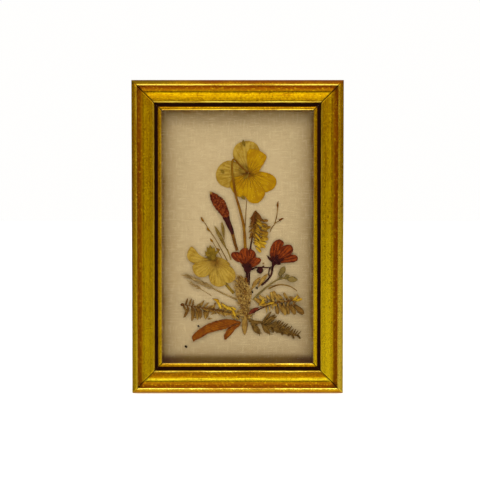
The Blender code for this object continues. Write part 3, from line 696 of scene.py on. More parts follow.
wadding_shape = pad_grid(30, 48, SILK_THICK + 0.05, 4.5)
edge_loop = [e for e in wadding_shape.edges if e.is_boundary]
bmesh.ops.holes_fill(wadding_shape, edges=edge_loop)
bmesh.ops.recalc_face_normals(wadding_shape, faces=wadding_shape.faces)
wadding_mesh = mesh_of(wadding_shape, "wadding")
wadding_mesh.materials.append(pulp_finish("wadding", screen(226, 216, 190), screen(196, 180, 142)))
wadding = settle("wadding", wadding_mesh, ["silk_pad"])

silk_shape = pad_grid(72, 118, 0.0, PAD_EDGE_H - TURNED_IN)
silk_area = sum(face.calc_area() for face in silk_shape.faces)
silk_mesh = mesh_of(silk_shape, "silk")
silk_mesh.materials.append(silk_finish())
silk = settle("silk_ground", silk_mesh)
body = silk.modifiers.new("thickness", "SOLIDIFY")
body.thickness = SILK_THICK * MM
body.offset = -1.0

# %% [markdown]
# ## The look of pressed plants
# Pressed for decades, every petal has turned some straw, ochre or rust colour. What still tells them
# apart is the vein pattern, the way colour gathers at the rim and at the heart, and how streaky or
# blotched the skin is. One group makes all of that from three numbers that each shape carries: across
# and along say where a point lies on its petal, and rim says how near the edge it is.

# %% Group: pressed skin
SKIN_TONES = ("Light", "Dark", "Vein", "Rim", "Heart", "Ripe")
SKIN_SIZES = {"Patch": 2.5, "Vein Count": 8.0, "Vein Strength": 0.5, "Vein Reach": 1.1, "Rim Strength": 0.4,
              "Heart Reach": 0.0, "Fibre": 0.5}
PRESSED, skin_in, skin_out = start_group("Pressed Skin", dict.fromkeys(SKIN_TONES,
                                                                       screen(110, 90, 40)) | SKIN_SIZES,
                                         {"Colour": "Color", "Relief": "Float"})
tree = PRESSED
spot = object_place(tree)
across, along, rim, tone = (node(tree, "ShaderNodeAttribute", {}, "Fac", attribute_name=label)
                            for label in ("across", "along", "rim", "tone"))
bend = less(tree, clouds(tree, spot, 1.6, 2.0), 0.5)
phase = plus(tree, times(tree, across, skin_in["Vein Count"]), bend)
to_line = calc(tree, "ABSOLUTE", less(tree, calc(tree, "FRACT", phase), 0.5))
lines = times(tree, ease(tree, to_line, 0.27, 0.45), ease(tree, along, skin_in["Vein Reach"], 0.1))
veins = times(tree, lines, skin_in["Vein Strength"])
fibres = drawn_noise(tree, join_xyz(tree, across, along, tone), (14.0, 2.2, 40.0), 4.0, Roughness=0.6)
size = calc(tree, "DIVIDE", 1.0 / MM, skin_in["Patch"])
patches = node(tree, "ShaderNodeTexNoise", {"Vector": spot, "Scale": size, "Detail": 4.0, "Roughness": 0.6})
streaky = times(tree, less(tree, fibres, 0.5), skin_in["Fibre"])
blend = ease(tree, plus(tree, patches, streaky), 0.36, 0.66)
near_heart = ease(tree, plus(tree, along, times(tree, bend, 0.25)), skin_in["Heart Reach"], 0.0)
edge = times(tree, rim, ease(tree, patches, 0.3, 0.6, 0.4, 1.0), skin_in["Rim Strength"])
colour = paint(tree, skin_in["Light"], (blend, skin_in["Dark"]), (tone, skin_in["Ripe"]),
               (near_heart, skin_in["Heart"]), (veins, skin_in["Vein"]), (edge, skin_in["Rim"]))
pores = clouds(tree, spot, 0.35, 3.0, 0.6)
relief = plus(tree, veins, times(tree, fibres, 0.8), times(tree, pores, 0.8))
tree.links.new(colour, skin_out["Colour"])
tree.links.new(relief, skin_out["Relief"])

# %% Finishes of the plants
LOOKS = {}


def titled(settings):
    """Turns near_size into Near Size, the way a group's sockets are named."""
    return {label.replace("_", " ").title(): value for label, value in settings.items()}


def add_look(name, light, dark, vein, rim=None, heart=None, ripe=None, rough=0.66, depth=0.06, **sizes):
    """A plant's finish. Colours are 0 to 255, and sizes are the skin group's sizes and strengths."""
    material, tree, shader = start_finish(name)
    tones = (light, dark, vein, rim or vein, heart or dark, ripe or dark)
    feeds = {label: screen(*tone) for label, tone in zip(SKIN_TONES, tones)}
    skin = place_group(tree, PRESSED, feeds | SKIN_SIZES | titled(sizes))
    roughness = ease(tree, skin["Relief"], 0.3, 1.3, rough - 0.08, rough + 0.1)
    feed(tree, shader, {"Base Color": skin["Colour"], "Roughness": roughness, "Specular IOR Level": 0.04,
                        "Normal": bump(tree, skin["Relief"], 0.55, depth)})
    LOOKS[name] = material


# The pale petals' dark heart tone reaches far out: partly the heart's own colour and partly painted shade
# where petals overlap.
add_look("pale_petal", (179, 141, 55), (150, 111, 29), (98, 58, 8), (142, 102, 30), (104, 62, 6),
         vein_count=5.5, vein_strength=0.45, heart_reach=0.46, patch=3.4, rim_strength=0.5, fibre=0.9)
add_look("gold_petal", (180, 132, 2), (158, 108, 1), (74, 30, 3), (140, 90, 3), (100, 48, 2), vein_count=4.0,
         vein_strength=0.9, vein_reach=0.72, heart_reach=0.28, patch=3.6, rim_strength=0.55, fibre=0.8)
add_look("brown_stem", (136, 92, 14), (100, 44, 2), (72, 28, 2), patch=5.0, fibre=1.2)
add_look("red_bud", (112, 36, 14), (66, 12, 6), (48, 8, 5), ripe=(168, 80, 30), patch=0.7, depth=0.15,
         rough=0.8, vein_strength=0.3, fibre=1.0)
add_look("dark_stem", (122, 76, 14), (84, 44, 10), (44, 14, 8), heart=(50, 16, 10), heart_reach=0.42,
         fibre=1.6)
add_look("vetch", (206, 162, 40), (184, 134, 18), (90, 46, 6), (92, 48, 8), (84, 42, 8), (98, 52, 14),
         vein_count=1.5, vein_strength=0.5, heart_reach=0.36, rim_strength=0.75)
add_look("pale_vetch", (186, 146, 66), (152, 108, 38), (96, 60, 18), (92, 56, 16), (78, 44, 10),
         (100, 62, 16), vein_count=1.5, vein_strength=0.6, heart_reach=0.42, rim_strength=0.75)
add_look("dry_stem", (140, 104, 42), (104, 68, 18), (82, 46, 12), fibre=1.2)
add_look("olive_leaf", (150, 116, 50), (112, 80, 26), (88, 62, 16), ripe=(186, 158, 96), fibre=1.6)
add_look("green_stem", (146, 110, 34), (106, 78, 12), (84, 58, 8), fibre=1.0)
add_look("red_petal", (140, 58, 12), (90, 28, 6), (48, 6, 4), (70, 12, 6), (46, 8, 6), vein_count=5.0,
         vein_strength=0.85, vein_reach=1.6, heart_reach=0.4, rim_strength=0.85, patch=1.6, fibre=1.3)
add_look("black_stem", (70, 22, 14), (42, 8, 8), (30, 6, 6), fibre=1.0)
add_look("grey_leaf", (138, 110, 54), (102, 82, 42), (70, 52, 24), (58, 42, 18), vein_count=2.0,
         vein_strength=0.6, rim_strength=0.9)
add_look("calyx", (142, 108, 26), (104, 76, 12), (74, 52, 8), vein_count=4.0, vein_strength=0.7,
         rim_strength=0.8, fibre=1.4)
add_look("ochre_leaf", (172, 132, 62), (136, 94, 34), (76, 42, 12), (58, 28, 8), vein_count=2.0,
         vein_strength=0.7, rim_strength=1.0, fibre=1.0)
add_look("moss", (168, 122, 48), (112, 66, 14), (84, 48, 8), ripe=(206, 164, 88), patch=0.7, rough=0.85,
         fibre=1.4)
add_look("fur_dark", (112, 62, 18), (74, 34, 8), (50, 20, 6), rough=0.85)
add_look("dry_grass", (176, 144, 88), (126, 90, 44), (86, 56, 22), ripe=(150, 116, 66), fibre=1.4)
add_look("orange_leaf", (152, 84, 6), (110, 48, 3), (74, 24, 2), (84, 30, 4), vein_count=3.0,
         vein_strength=0.75, vein_reach=2.0, rim_strength=0.8, fibre=1.8)
add_look("dark_leaf", (124, 88, 34), (82, 54, 13), (64, 40, 12), (60, 38, 12), patch=1.2)
add_look("dark_red_leaf", (112, 46, 20), (80, 26, 12), (52, 12, 8), rim_strength=0.8)
add_look("black_speck", (38, 12, 8), (20, 6, 4), (12, 4, 3), patch=0.3, rough=0.9)
print("plant finishes:", len(LOOKS))

# %% [markdown]
# ## Building petals, leaves and stems
# A pressed petal is a thin skin with an outline all its own. It is built as a fan of rings about a point
# inside it, given a little droop and a few low folds, and made two-faced with a closed rim. A leaf is
# skinned between its left and its right edge. A stem is a flattened tube, because pressing flattens it.

# %% Height of each layer
LAYER_H = {"A": 7.3, "B": 7.8, "C": 8.35}  # the glass starts at 8.85
LOWEST_H, HIGHEST_H = 6.98, 8.72
MARKS = ("across", "along", "rim")


# %% Skins
def new_shape():
    """An empty bmesh whose points carry across, along and rim."""
    shape = bmesh.new()
    for label in MARKS:
        shape.verts.layers.float.new(label)
    return shape


def marked_point(shape, place, marks):
    """A point that carries its marks."""
    vert = shape.verts.new(place)
    for label, value in zip(MARKS, marks):
        vert[shape.verts.layers.float[label]] = value
    return vert


def add_point(shape, x, z, h, *marks):
    """A marked point of the picture, held between the silk and the glass."""
    return marked_point(shape, at(x, z, min(max(h, LOWEST_H), HIGHEST_H)), marks)


def skin_rows(shape, rows, closed):
    """Faces between each row of points and the next."""
    for near, far in zip(rows, rows[1:]):
        count = len(near)
        for i in range(count if closed else count - 1):
            k = (i + 1) % count
            shape.faces.new((near[i], near[k], far[k], far[i]))


def rim_of(grid):
    """The points round the edge of a grid, in order."""
    return grid[0] + [row[-1] for row in grid[1:-1]] + grid[-1][::-1] + [row[0] for row in grid[-2:0:-1]]


def wall(shape, front, back):
    """A narrow wall between two equal loops."""
    for i in range(len(front)):
        k = (i + 1) % len(front)
        shape.faces.new((front[i], back[i], back[k], front[k]))


def two_faced(shape, rows, closed=False, hub=None, thickness=0.15):
    """A thin skin from rows of (x, z, h, across, along, rim), with a front, a back and a rim."""
    loops = []
    for offset in (thickness / 2, -thickness / 2):
        grid = [[add_point(shape, x, z, h + offset, *marks) for x, z, h, *marks in row] for row in rows]
        skin_rows(shape, grid, closed)
        if hub:
            x, z, h, *marks = hub
            middle = add_point(shape, x, z, h + offset, *marks)
            first = grid[0]
            for i, vert in enumerate(first):
                shape.faces.new((middle, vert, first[(i + 1) % len(first)]))
        loops.append(grid[-1] if closed else rim_of(grid))
    wall(shape, *loops)


def loop_through(points, steps=7):
    """A smooth closed curve through the points."""
    points = [Vector(p) for p in points]
    count = len(points)
    path = []
    for k in range(count):
        path += curve_piece(*(points[(k + n) % count] for n in (-1, 0, 1, 2)), steps)
    return path


def petal(shape, outline, base, h, heart=None, droop=0.2, ruffle=0.07, folds=6, rings=9, fray=0.14):
    """A petal in a closed outline. base is where it joins its flower, heart a point inside it."""
    edge = loop_through(outline)
    base = Vector(base)
    heart = Vector(heart) if heart else sum(edge, Vector((0.0, 0.0))) / len(edge)
    heading = heart - base
    reach = max((p - base).length for p in edge)

    def point(p, share):
        away = p - base
        angle = math.atan2(heading.x * away.y - heading.y * away.x, heading.dot(away))
        distance = away.length / reach
        h_here = h - droop * share ** 2 + ruffle * math.sin(folds * angle + h * 9) * distance * share
        h_here += noise.noise(Vector((p.x * 0.5, p.y * 0.5, h))) * 0.08
        return (p.x, p.y, h_here, angle, distance, max(0.0, (share - 0.82) / 0.18))

    rows = []
    for ring in range(1, rings + 1):
        share = (ring / rings) ** 0.8
        row = []
        for p in edge:
            ragged = noise.noise(Vector((p.x * 1.7, p.y * 1.7, h * 3))) * fray
            spoke = p - heart
            row.append(point(heart + spoke * share * (1 + ragged * share / max(spoke.length, 1.0)), share))
        rows.append(row)
    two_faced(shape, rows, closed=True, hub=point(heart, 0.0))


def leaf(shape, left, right, h, columns=8, steps=7, crease=0.12, droop=0.12, fray=0.1):
    """A leaf between its left and right edges, both from base to tip."""
    left, right = smooth_path(left, steps), smooth_path(right, steps)
    rows = []
    for j, (a, b) in enumerate(zip(left, right)):
        along = j / (len(left) - 1)
        row = []
        for i in range(columns + 1):
            across = 2 * i / columns - 1
            p = a + (b - a) * (across + 1) / 2
            ragged = noise.noise(Vector((p.x * 2, p.y * 2, h))) * fray * abs(across) ** 4
            side = (b - a).normalized() if (b - a).length > 1e-4 else Vector((0.0, 0.0))
            p = p + side * ragged
            h_here = h + crease * abs(across) - droop * across ** 2 - droop * (2 * along - 1) ** 2
            h_here += noise.noise(Vector((p.x * 0.5, p.y * 0.5, h))) * 0.1
            rim = max(0.0, (abs(across) - 0.6) / 0.4, (along - 0.92) / 0.08)
            row.append((p.x, p.y, h_here, across, along, rim))
        rows.append(row)
    two_faced(shape, rows)


def blade(shape, base, tip, width, h, lean=0.0, fullest=0.5, columns=6):
    """A lance-shaped leaf from base to tip; lean bows it to its left."""
    base, tip = Vector(base), Vector(tip)
    along = tip - base
    side = Vector((-along.y, along.x)).normalized()
    skew = math.log(0.5) / math.log(fullest)
    left, right = [], []
    for i in range(9):
        t = i / 8
        spine = base + along * t + side * lean * math.sin(math.pi * t)
        half = side * (0.04 + width / 2 * math.sin(math.pi * t ** skew) ** 0.85)
        left.append(spine + half)
        right.append(spine - half)
    leaf(shape, left, right, h, columns=columns, steps=4)


def stem(shape, points, width_at, h, flat=0.5, sides=8, steps=7, knobbly=0.12):
    """A flattened stem along the points; width_at gives its width from 0 at its start to 1 at its end."""
    path = smooth_path(points, steps)
    rings = []
    for j, p in enumerate(path):
        t = j / (len(path) - 1)
        along = (path[min(j + 1, len(path) - 1)] - path[max(j - 1, 0)]).normalized()
        side = Vector((-along.y, along.x))
        lump = 1 + knobbly * noise.noise(Vector((p.x * 1.1, p.y * 1.1, h)))
        half = max(0.03, width_at(t) * lump / 2)
        rise = min(half * flat, 0.24)
        ring = []
        for i in range(sides):
            turn = 2 * math.pi * i / sides
            q = p + side * half * math.cos(turn)
            ring.append(add_point(shape, q.x, q.y, h + rise * math.sin(turn), math.cos(turn), t, 0.0))
        rings.append(ring)
    skin_rows(shape, rings, True)
    shape.faces.new(rings[0])
    shape.faces.new(rings[-1][::-1])


def even(start, end):
    """A width that goes evenly from start to end."""
    return lambda t: start + (end - start) * t


def swell(width, extra, place, spread):
    """A width that swells round one place."""
    return lambda t: width + extra * math.exp(-(((t - place) / spread) ** 2))


def seed_head(shape, centre, heading, length, width, h):
    """A spindle-shaped seed: thin at both ends, fullest below its middle."""
    way = Vector((math.cos(math.radians(heading)), math.sin(math.radians(heading)))) * length / 2
    side = Vector((-way.y, way.x)) * 0.12
    centre = Vector(centre)
    points = [centre - way, centre - way * 0.3 + side, centre + way * 0.4 + side, centre + way]
    stem(shape, points, lambda t: 0.16 + width * math.sin(math.pi * t ** 0.8) ** 1.2, h, flat=0.7, steps=4)


def keep(name, shape, look, nodes=()):
    """Turns a shape's faces outward and makes it a piece that stands for these CAD nodes."""
    bmesh.ops.recalc_face_normals(shape, faces=shape.faces)
    mesh = mesh_of(shape, name)
    mesh.materials.append(LOOKS[look])
    settle(name, mesh, nodes)


def press(name, shape, look):
    """A piece that stands for the CAD node of that name."""
    keep("pressed_" + name, shape, look, [name])


def press_stem(name, points, start, end, layer, look):
    """A piece that is one even stem, so many millimetres wide at its start and at its end."""
    shape = new_shape()
    stem(shape, points, even(start, end), LAYER_H[layer])
    press(name, shape, look)


# %% [markdown]
# ## The large viola
# It was pressed face down, so its hooked stem lies over the left petals. Two petals have faded to straw,
# and three are still a deep yellow. Dark honey guides run out from the heart of the lower ones.

# %% Large viola
VIOLA = (5.3, 30.9)
VIOLA_PETALS = {
    "viola_petal_top": ("pale_petal", "A", [
        (5.3, 31.2), (2.2, 33.6), (-1.4, 37.0), (-2.3, 40.4), (-1.6, 43.6), (0.4, 45.6), (3.0, 46.5),
        (6.2, 46.5), (9.0, 45.2), (10.6, 42.6), (11.0, 38.4), (8.6, 34.0)]),
    "viola_petal_left": ("pale_petal", "A", [
        (5.2, 30.8), (2.0, 34.6), (-2.6, 37.0), (-6.2, 36.6), (-9.0, 34.4), (-10.6, 30.9), (-10.0, 27.2),
        (-7.6, 24.8), (-4.2, 23.9), (-0.8, 25.4), (2.6, 28.6)]),
    "viola_petal_right": ("gold_petal", "A", [
        (5.0, 30.6), (9.4, 31.9), (12.6, 31.6), (16.0, 30.6), (18.3, 28.8), (18.9, 26.4), (18.0, 24.0),
        (16.0, 22.5), (13.4, 21.6), (10.4, 22.6), (7.0, 26.4)]),
    "viola_petal_bottom": ("gold_petal", "B", [
        (5.4, 30.4), (1.2, 29.6), (-2.6, 28.4), (-3.8, 25.6), (-2.8, 22.8), (-0.9, 20.2), (1.4, 19.3),
        (3.2, 19.7), (4.4, 18.3), (5.8, 17.0), (7.8, 16.3), (10.1, 16.6), (12.2, 18.6), (13.4, 21.4),
        (11.4, 25.2), (8.0, 28.8)]),
    "viola_petal_upper_right": ("gold_petal", "B", [
        (5.6, 31.2), (4.8, 35.4), (4.4, 39.6), (5.6, 42.4), (8.0, 42.6), (10.4, 42.0), (12.9, 40.5),
        (14.2, 38.9), (13.0, 36.2), (11.2, 33.2), (9.8, 31.2), (7.6, 30.6)]),
}
for name, (look, layer, outline) in VIOLA_PETALS.items():
    shape = new_shape()
    petal(shape, outline, VIOLA, LAYER_H[layer], folds=9)
    press(name, shape, look)

shape = new_shape()
hook = [(4.9, 31.2), (2.4, 33.6), (0.0, 36.0), (-1.5, 37.6), (-2.5, 36.8), (-2.7, 33.0), (-2.0, 27.0),
        (-0.9, 20.2), (0.5, 15.3), (2.1, 9.3), (3.2, 3.4), (3.7, -5.4)]
stem(shape, hook, lambda t: 0.85 + 0.35 * t + 0.6 * max(0.0, t - 0.55), LAYER_H["C"])
press("viola_stem", shape, "brown_stem")

shape = new_shape()
for base, tip, width in (((3.6, 43.8), (2.6, 47.2), 1.3), ((-6.4, 30.8), (-8.0, 32.8), 1.2),
                         ((1.5, 19.9), (3.6, 18.2), 1.5), ((4.6, 31.6), (0.6, 32.6), 1.6),
                         ((5.0, 31.4), (3.2, 35.0), 1.4), ((5.4, 30.6), (2.6, 28.0), 1.2)):
    blade(shape, base, tip, width, LAYER_H["C"] - 0.28, lean=0.15)
keep("viola_sepals", shape, "green_stem")

# %% [markdown]
# ## Things that repeat
# Florets along a stalk, leaflets along a frond, spikelets on a grass and hairs on a stem are the same
# small shape set out many times. Two geometry trees do it: one places a shape along a wire, on one side
# or on both, and one scatters a shape over a surface. Each has a seed, so that every run is the same.


# %% Geometry tree: along a stalk
def end_tree(tree, geometry, finish, result):
    """Makes what was set out real, gives it its finish and ends the tree."""
    geometry = node(tree, "GeometryNodeRealizeInstances", {"Geometry": geometry})
    geometry = node(tree, "GeometryNodeSetMaterial", {"Geometry": geometry, "Material": finish})
    tree.links.new(geometry, result["Geometry"])
    return tree


def chance(tree, low, high, seed):
    """A random number between two bounds."""
    return node(tree, "FunctionNodeRandomValue", {2: low, 3: high, 8: seed}, 1, data_type="FLOAT")


def stalk_tree():
    """Sets a shape out along a wire, turned away from it to one side or to both."""
    inputs = {"Stalk": "Geometry", "Floret": "Object", "Count": 12, "Start": 0.1, "End": 1.0, "Splay": 0.8,
              "Both Sides": 1.0, "Wildness": 0.2, "Near Size": 1.0, "Far Size": 0.6, "Lift": 0.0002,
              "Tone Near": 0.0, "Tone Far": 1.0, "Seed": 1, "Finish": "Material"}
    tree, given, result = start_group("Along A Stalk", inputs, {"Geometry": "Geometry"}, "GeometryNodeTree")
    wire = node(tree, "GeometryNodeMeshToCurve", {"Mesh": given["Stalk"]})
    wire = node(tree, "GeometryNodeTrimCurve", {"Curve": wire, "Start": given["Start"], "End": given["End"]})
    wire = node(tree, "GeometryNodeResampleCurve", {"Curve": wire, "Count": given["Count"]})
    share = node(tree, "GeometryNodeSplineParameter")

    def random_between(low, high, shift):
        return chance(tree, low, high, plus(tree, given["Seed"], shift))

    tone = node(tree, "ShaderNodeMapRange", {0: share, 3: given["Tone Near"], 4: given["Tone Far"]})
    tone = plus(tree, tone, random_between(-0.2, 0.2, 3.0), clamp=True)
    wire = node(tree, "GeometryNodeStoreNamedAttribute", {"Geometry": wire, "Name": "tone", "Value": tone},
                data_type="FLOAT", domain="POINT")
    wild = times(tree, given["Wildness"], -1.0)
    index = node(tree, "GeometryNodeInputIndex")
    parity = less(tree, times(tree, calc(tree, "MODULO", index, 2.0), 2.0), 1.0)
    one_side = less(tree, 1.0, calc(tree, "ABSOLUTE", given["Both Sides"]))
    side = plus(tree, times(tree, parity, given["Both Sides"]), one_side)
    turn = plus(tree, times(tree, side, given["Splay"]), random_between(wild, given["Wildness"], 1.0))
    tangent = node(tree, "GeometryNodeInputTangent")
    along = node(tree, "FunctionNodeAlignRotationToVector", {"Vector": tangent}, axis="X", pivot_axis="Y")
    roll = times(tree, side, random_between(0.05, 0.4, 5.0))
    splay = node(tree, "FunctionNodeEulerToRotation", {"Euler": join_xyz(tree, roll,
                                                                         times(tree, turn, -1.0))})
    facing = node(tree, "FunctionNodeRotateRotation", {"Rotation": along, "Rotate By": splay},
                  rotation_space="LOCAL")
    size = node(tree, "ShaderNodeMapRange", {0: share, 3: given["Near Size"], 4: given["Far Size"]})
    size = times(tree, size, random_between(0.78, 1.18, 2.0))
    height = random_between(times(tree, given["Lift"], -1.0), given["Lift"], 4.0)
    lifted = node(tree, "GeometryNodeSetPosition", {"Geometry": wire, "Offset": join_xyz(tree, 0.0, height)})
    floret = node(tree, "GeometryNodeObjectInfo", {"Object": given["Floret"]}, "Geometry")
    grown = node(tree, "GeometryNodeInstanceOnPoints", {
        "Points": lifted, "Instance": floret, "Rotation": facing, "Scale": size})
    return end_tree(tree, grown, given["Finish"], result)


# %% Geometry tree: scattered over a surface
def pile_tree():
    """Scatters a shape over a surface, all leaning one way, more or less wildly."""
    inputs = {"Surface": "Geometry", "Hair": "Object", "Per Square Millimetre": 4.0, "Lean": 0.9,
              "Wildness": 0.4, "Shortest": 0.7, "Longest": 1.3, "Seed": 1, "Finish": "Material"}
    tree, given, result = start_group("Pile", inputs, {"Geometry": "Geometry"}, "GeometryNodeTree")
    dense = times(tree, given["Per Square Millimetre"], 1e6)
    spots = node(tree, "GeometryNodeDistributePointsOnFaces", {
        "Mesh": given["Surface"], "Density": dense, "Seed": given["Seed"]}, None)
    wild = times(tree, given["Wildness"], -1.0)
    lift = times(tree, given["Wildness"], 0.16)
    drop = times(tree, lift, -1.0)
    bounds = {0: join_xyz(tree, drop, wild, drop), 1: join_xyz(tree, lift, given["Wildness"], lift),
              8: given["Seed"]}
    jolt = node(tree, "FunctionNodeRandomValue", bounds, data_type="FLOAT_VECTOR")
    tilt = node(tree, "ShaderNodeVectorMath", {0: jolt, 1: join_xyz(tree, 0.0, given["Lean"])})
    turned = node(tree, "FunctionNodeEulerToRotation", {"Euler": tilt})
    size = chance(tree, given["Shortest"], given["Longest"], given["Seed"])
    hair = node(tree, "GeometryNodeObjectInfo", {"Object": given["Hair"]}, "Geometry")
    grown = node(tree, "GeometryNodeInstanceOnPoints", {
        "Points": spots.outputs["Points"], "Instance": hair, "Rotation": turned, "Scale": size})
    tone = chance(tree, -1.0, 1.0, given["Seed"])
    grown = node(tree, "GeometryNodeStoreNamedAttribute", {"Geometry": grown, "Name": "tone", "Value": tone},
                 data_type="FLOAT", domain="INSTANCE")
    return end_tree(tree, grown, given["Finish"], result)


STALK, PILE = stalk_tree(), pile_tree()


# %% Small shapes that the trees set out
def unit_shape(name, rows, half_width, curl=0.0, arch=0.25, thickness=0.1, columns=4):
    """A small skin one millimetre long that grows along +X and faces -Y, as a template object."""
    shape = new_shape()
    grid = []
    for j in range(rows + 1):
        t = j / rows
        half = half_width(t)
        centre = curl * math.sin(math.pi * t / 2) ** 2
        row = []
        for i in range(columns + 1):
            across = 2 * i / columns - 1
            lift = arch * half * (1 - across ** 2)
            row.append((t, centre + half * across, lift, across, t, abs(across) ** 3))
        grid.append(row)
    sides = []
    for offset in (thickness / 2, -thickness / 2):
        points = [[marked_point(shape, (x * MM, -(h + offset) * MM, z * MM), marks) for x, z, h,
                   *marks in row] for row in grid]
        skin_rows(shape, points, False)
        sides.append(rim_of(points))
    wall(shape, *sides)
    bmesh.ops.recalc_face_normals(shape, faces=shape.faces)
    return bpy.data.objects.new(name, mesh_of(shape, name))


FLORET = unit_shape("floret", 6, lambda t: 0.025 + 0.115 * math.sin(math.pi * t ** 0.8) ** 0.8, 0.2)
BANNER = unit_shape("banner", 6, lambda t: 0.03 + 0.16 * math.sin(math.pi * min(1.0, t ** 1.3) * 0.88), 0.12)
SPIKELET = unit_shape("spikelet", 5, lambda t: 0.02 + 0.08 * math.sin(math.pi * t ** 0.75), 0.08)
HAIR = unit_shape("hair", 3, lambda t: 0.1 * (1.05 - t), 0.25, columns=2, thickness=0.05)
GRAIN = unit_shape("grain", 3, lambda t: 0.1 + 0.3 * math.sin(math.pi * t), 0.0, arch=0.7, columns=2)


def comb(name, teeth, length=0.27):
    """A leaflet with narrow teeth down both sides, one millimetre long, as on yarrow."""
    shape = new_shape()
    outline = []
    for side in (1, -1):
        edge = []
        for n in range(teeth):
            t = (n + 0.6) / (teeth + 0.3)
            size = length * math.sin(math.pi * (0.22 + 0.66 * t)) ** 0.7
            root, tip = 0.2 / teeth, size * 0.75
            edge += [(t - root, 0.035), (t - root * 0.6 + tip, size), (t + root * 0.5 + tip, size * 0.86),
                     (t + root, 0.035)]
        outline.append([(x, z * side) for x, z in edge])
    ring = [(0.0, -0.035), *outline[1], (1.12, 0.0), *outline[0][::-1], (0.0, 0.035)]
    faces = []
    for h in (0.03, -0.03):
        faces.append([marked_point(shape, (x * MM, -h * MM, z * MM), (z * 3, x, min(1.0, abs(z) * 3)))
                      for x, z in ring])
        shape.faces.new(faces[-1])
    wall(shape, *faces)
    bmesh.ops.triangulate(shape, faces=[f for f in shape.faces if len(f.verts) > 4])
    bmesh.ops.recalc_face_normals(shape, faces=shape.faces)
    return bpy.data.objects.new(name, mesh_of(shape, name))


COMB = comb("comb", 5)


# %% Setting them out
def wire_of(points, h, steps=8):
    """The wire along which small shapes are set out."""
    wire = bpy.data.meshes.new("stalk")
    path = smooth_path(points, steps)
    wire.from_pydata([at(p.x, p.y, h) for p in path], [(i, i + 1) for i in range(len(path) - 1)], [])
    return wire


def set_out(name, stalk, h, template, look, slot=None, sizes=(1.0, 1.0), tones=(0.0, 0.0), **settings):
    """Sets a small shape out along a stalk as a piece; sizes and tones are those near and far along it."""
    values = {"Floret": template, "Near Size": sizes[0], "Far Size": sizes[1], "Tone Near": tones[0],
              "Tone Far": tones[1], "Finish": LOOKS[look]}
    settle(name, grow(name, wire_of(stalk, h), STALK, values | titled(settings)))


def cover(name, surface, template, look, slot=None, **settings):
    """Scatters a small shape over a surface and makes the result a piece."""
    values = {"Hair": template, "Finish": LOOKS[look]}
    settle(name, grow(name, surface, PILE, values | titled(settings)))


# %% [markdown]
# ## The red-brown spike
# A dense seed spike, fine-grained like a cone, on a dark neck. Its body is a swollen stem, and the
# grains are scattered over it.

# %% Bud spike
SPIKE = [(-5.0, 10.6), (-6.6, 12.6), (-8.4, 15.2), (-10.3, 17.8), (-11.9, 20.0), (-13.2, 21.9)]
shape = new_shape()
stem(shape, SPIKE, lambda t: 2.6 + 2.9 * math.sin(math.pi * min(1.0, t * 0.96 + 0.02)) ** 0.8 - 2.3 * t ** 3,
     LAYER_H["B"], flat=0.2, sides=14, steps=10)
press("bud_spike", shape, "red_bud")
body = new_shape()
leaf(body, [(-6.6, 9.6), (-9.4, 13.0), (-11.6, 16.6), (-12.3, 20.0), (-12.9, 21.4)],
     [(-4.0, 10.6), (-4.9, 14.0), (-6.2, 17.6), (-9.2, 20.4), (-12.4, 21.6)], LAYER_H["B"] + 0.3)
cover("spike_grains", mesh_of(body, "spike_face"), GRAIN, "red_bud", per_square_millimetre=5.0, lean=2.2,
      wildness=0.7, shortest=0.5, longest=0.95, seed=4)
shape = new_shape()
neck = [(-6.2, 11.2), (-5.4, 9.0), (-4.2, 6.0), (-2.9, 3.0), (-2.0, -0.4), (-1.2, -3.4), (-0.2, -6.6)]
stem(shape, neck, lambda t: 3.4 - 2.7 * min(t, 0.62) - 0.4 * t, LAYER_H["A"] + 0.25, flat=0.3, sides=10)
press("bud_stem", shape, "dark_stem")
shape = new_shape()
stem(shape, neck[:5], lambda t: (3.5 - 2.0 * t) * min(1.0, 4.2 * (1.03 - t)), LAYER_H["A"] + 0.33, flat=0.3,
     sides=10)
keep("bud_neck", shape, "black_stem")
shape = new_shape()
blade(shape, (-12.2, 20.4), (-13.5, 22.1), 1.0, LAYER_H["B"] + 0.3)
keep("bud_tip", shape, "ochre_leaf")

# %% [markdown]
# ## Vetches
# Three racemes of small pea flowers. Toward their tips the flowers are small and dark brown, further down
# they are long and still yellow, with the outline of each keel drawn in brown.

# %% Vetches
UPPER = [(6.1, -6.4), (6.8, -1.8), (7.6, 3.2), (8.3, 8.0), (9.0, 12.8)]
press_stem("upper_vetch", UPPER, 0.8, 0.5, "A", "dark_stem")
set_out("upper_vetch_dark", UPPER, 7.6, FLORET, "vetch", count=30, splay=2.45, sizes=(2.6, 4.2),
        wildness=0.4, tones=(0.6, 1.0), seed=11, start=0.36)
for seed, row, count, splay, size, template in (
        (5, [(7.6, -2.6), (8.2, 1.0), (8.6, 5.0), (9.2, 10.4)], 12, -2.25, 4.2, FLORET),
        (7, [(8.6, -4.6), (9.8, -1.0), (10.8, 3.0), (11.0, 8.0)], 12, -1.95, 4.0, BANNER),
        (8, [(9.8, -4.0), (11.2, 0.0), (12.0, 4.0)], 8, -1.6, 3.6, BANNER)):
    set_out(f"upper_vetch_gold_{seed}", row, 7.7 + seed * 0.04, template, "vetch", count=count, splay=splay,
            both_sides=0.0, sizes=(size, size), wildness=0.4, tones=(-0.2, 0.8), seed=seed, start=0.0)

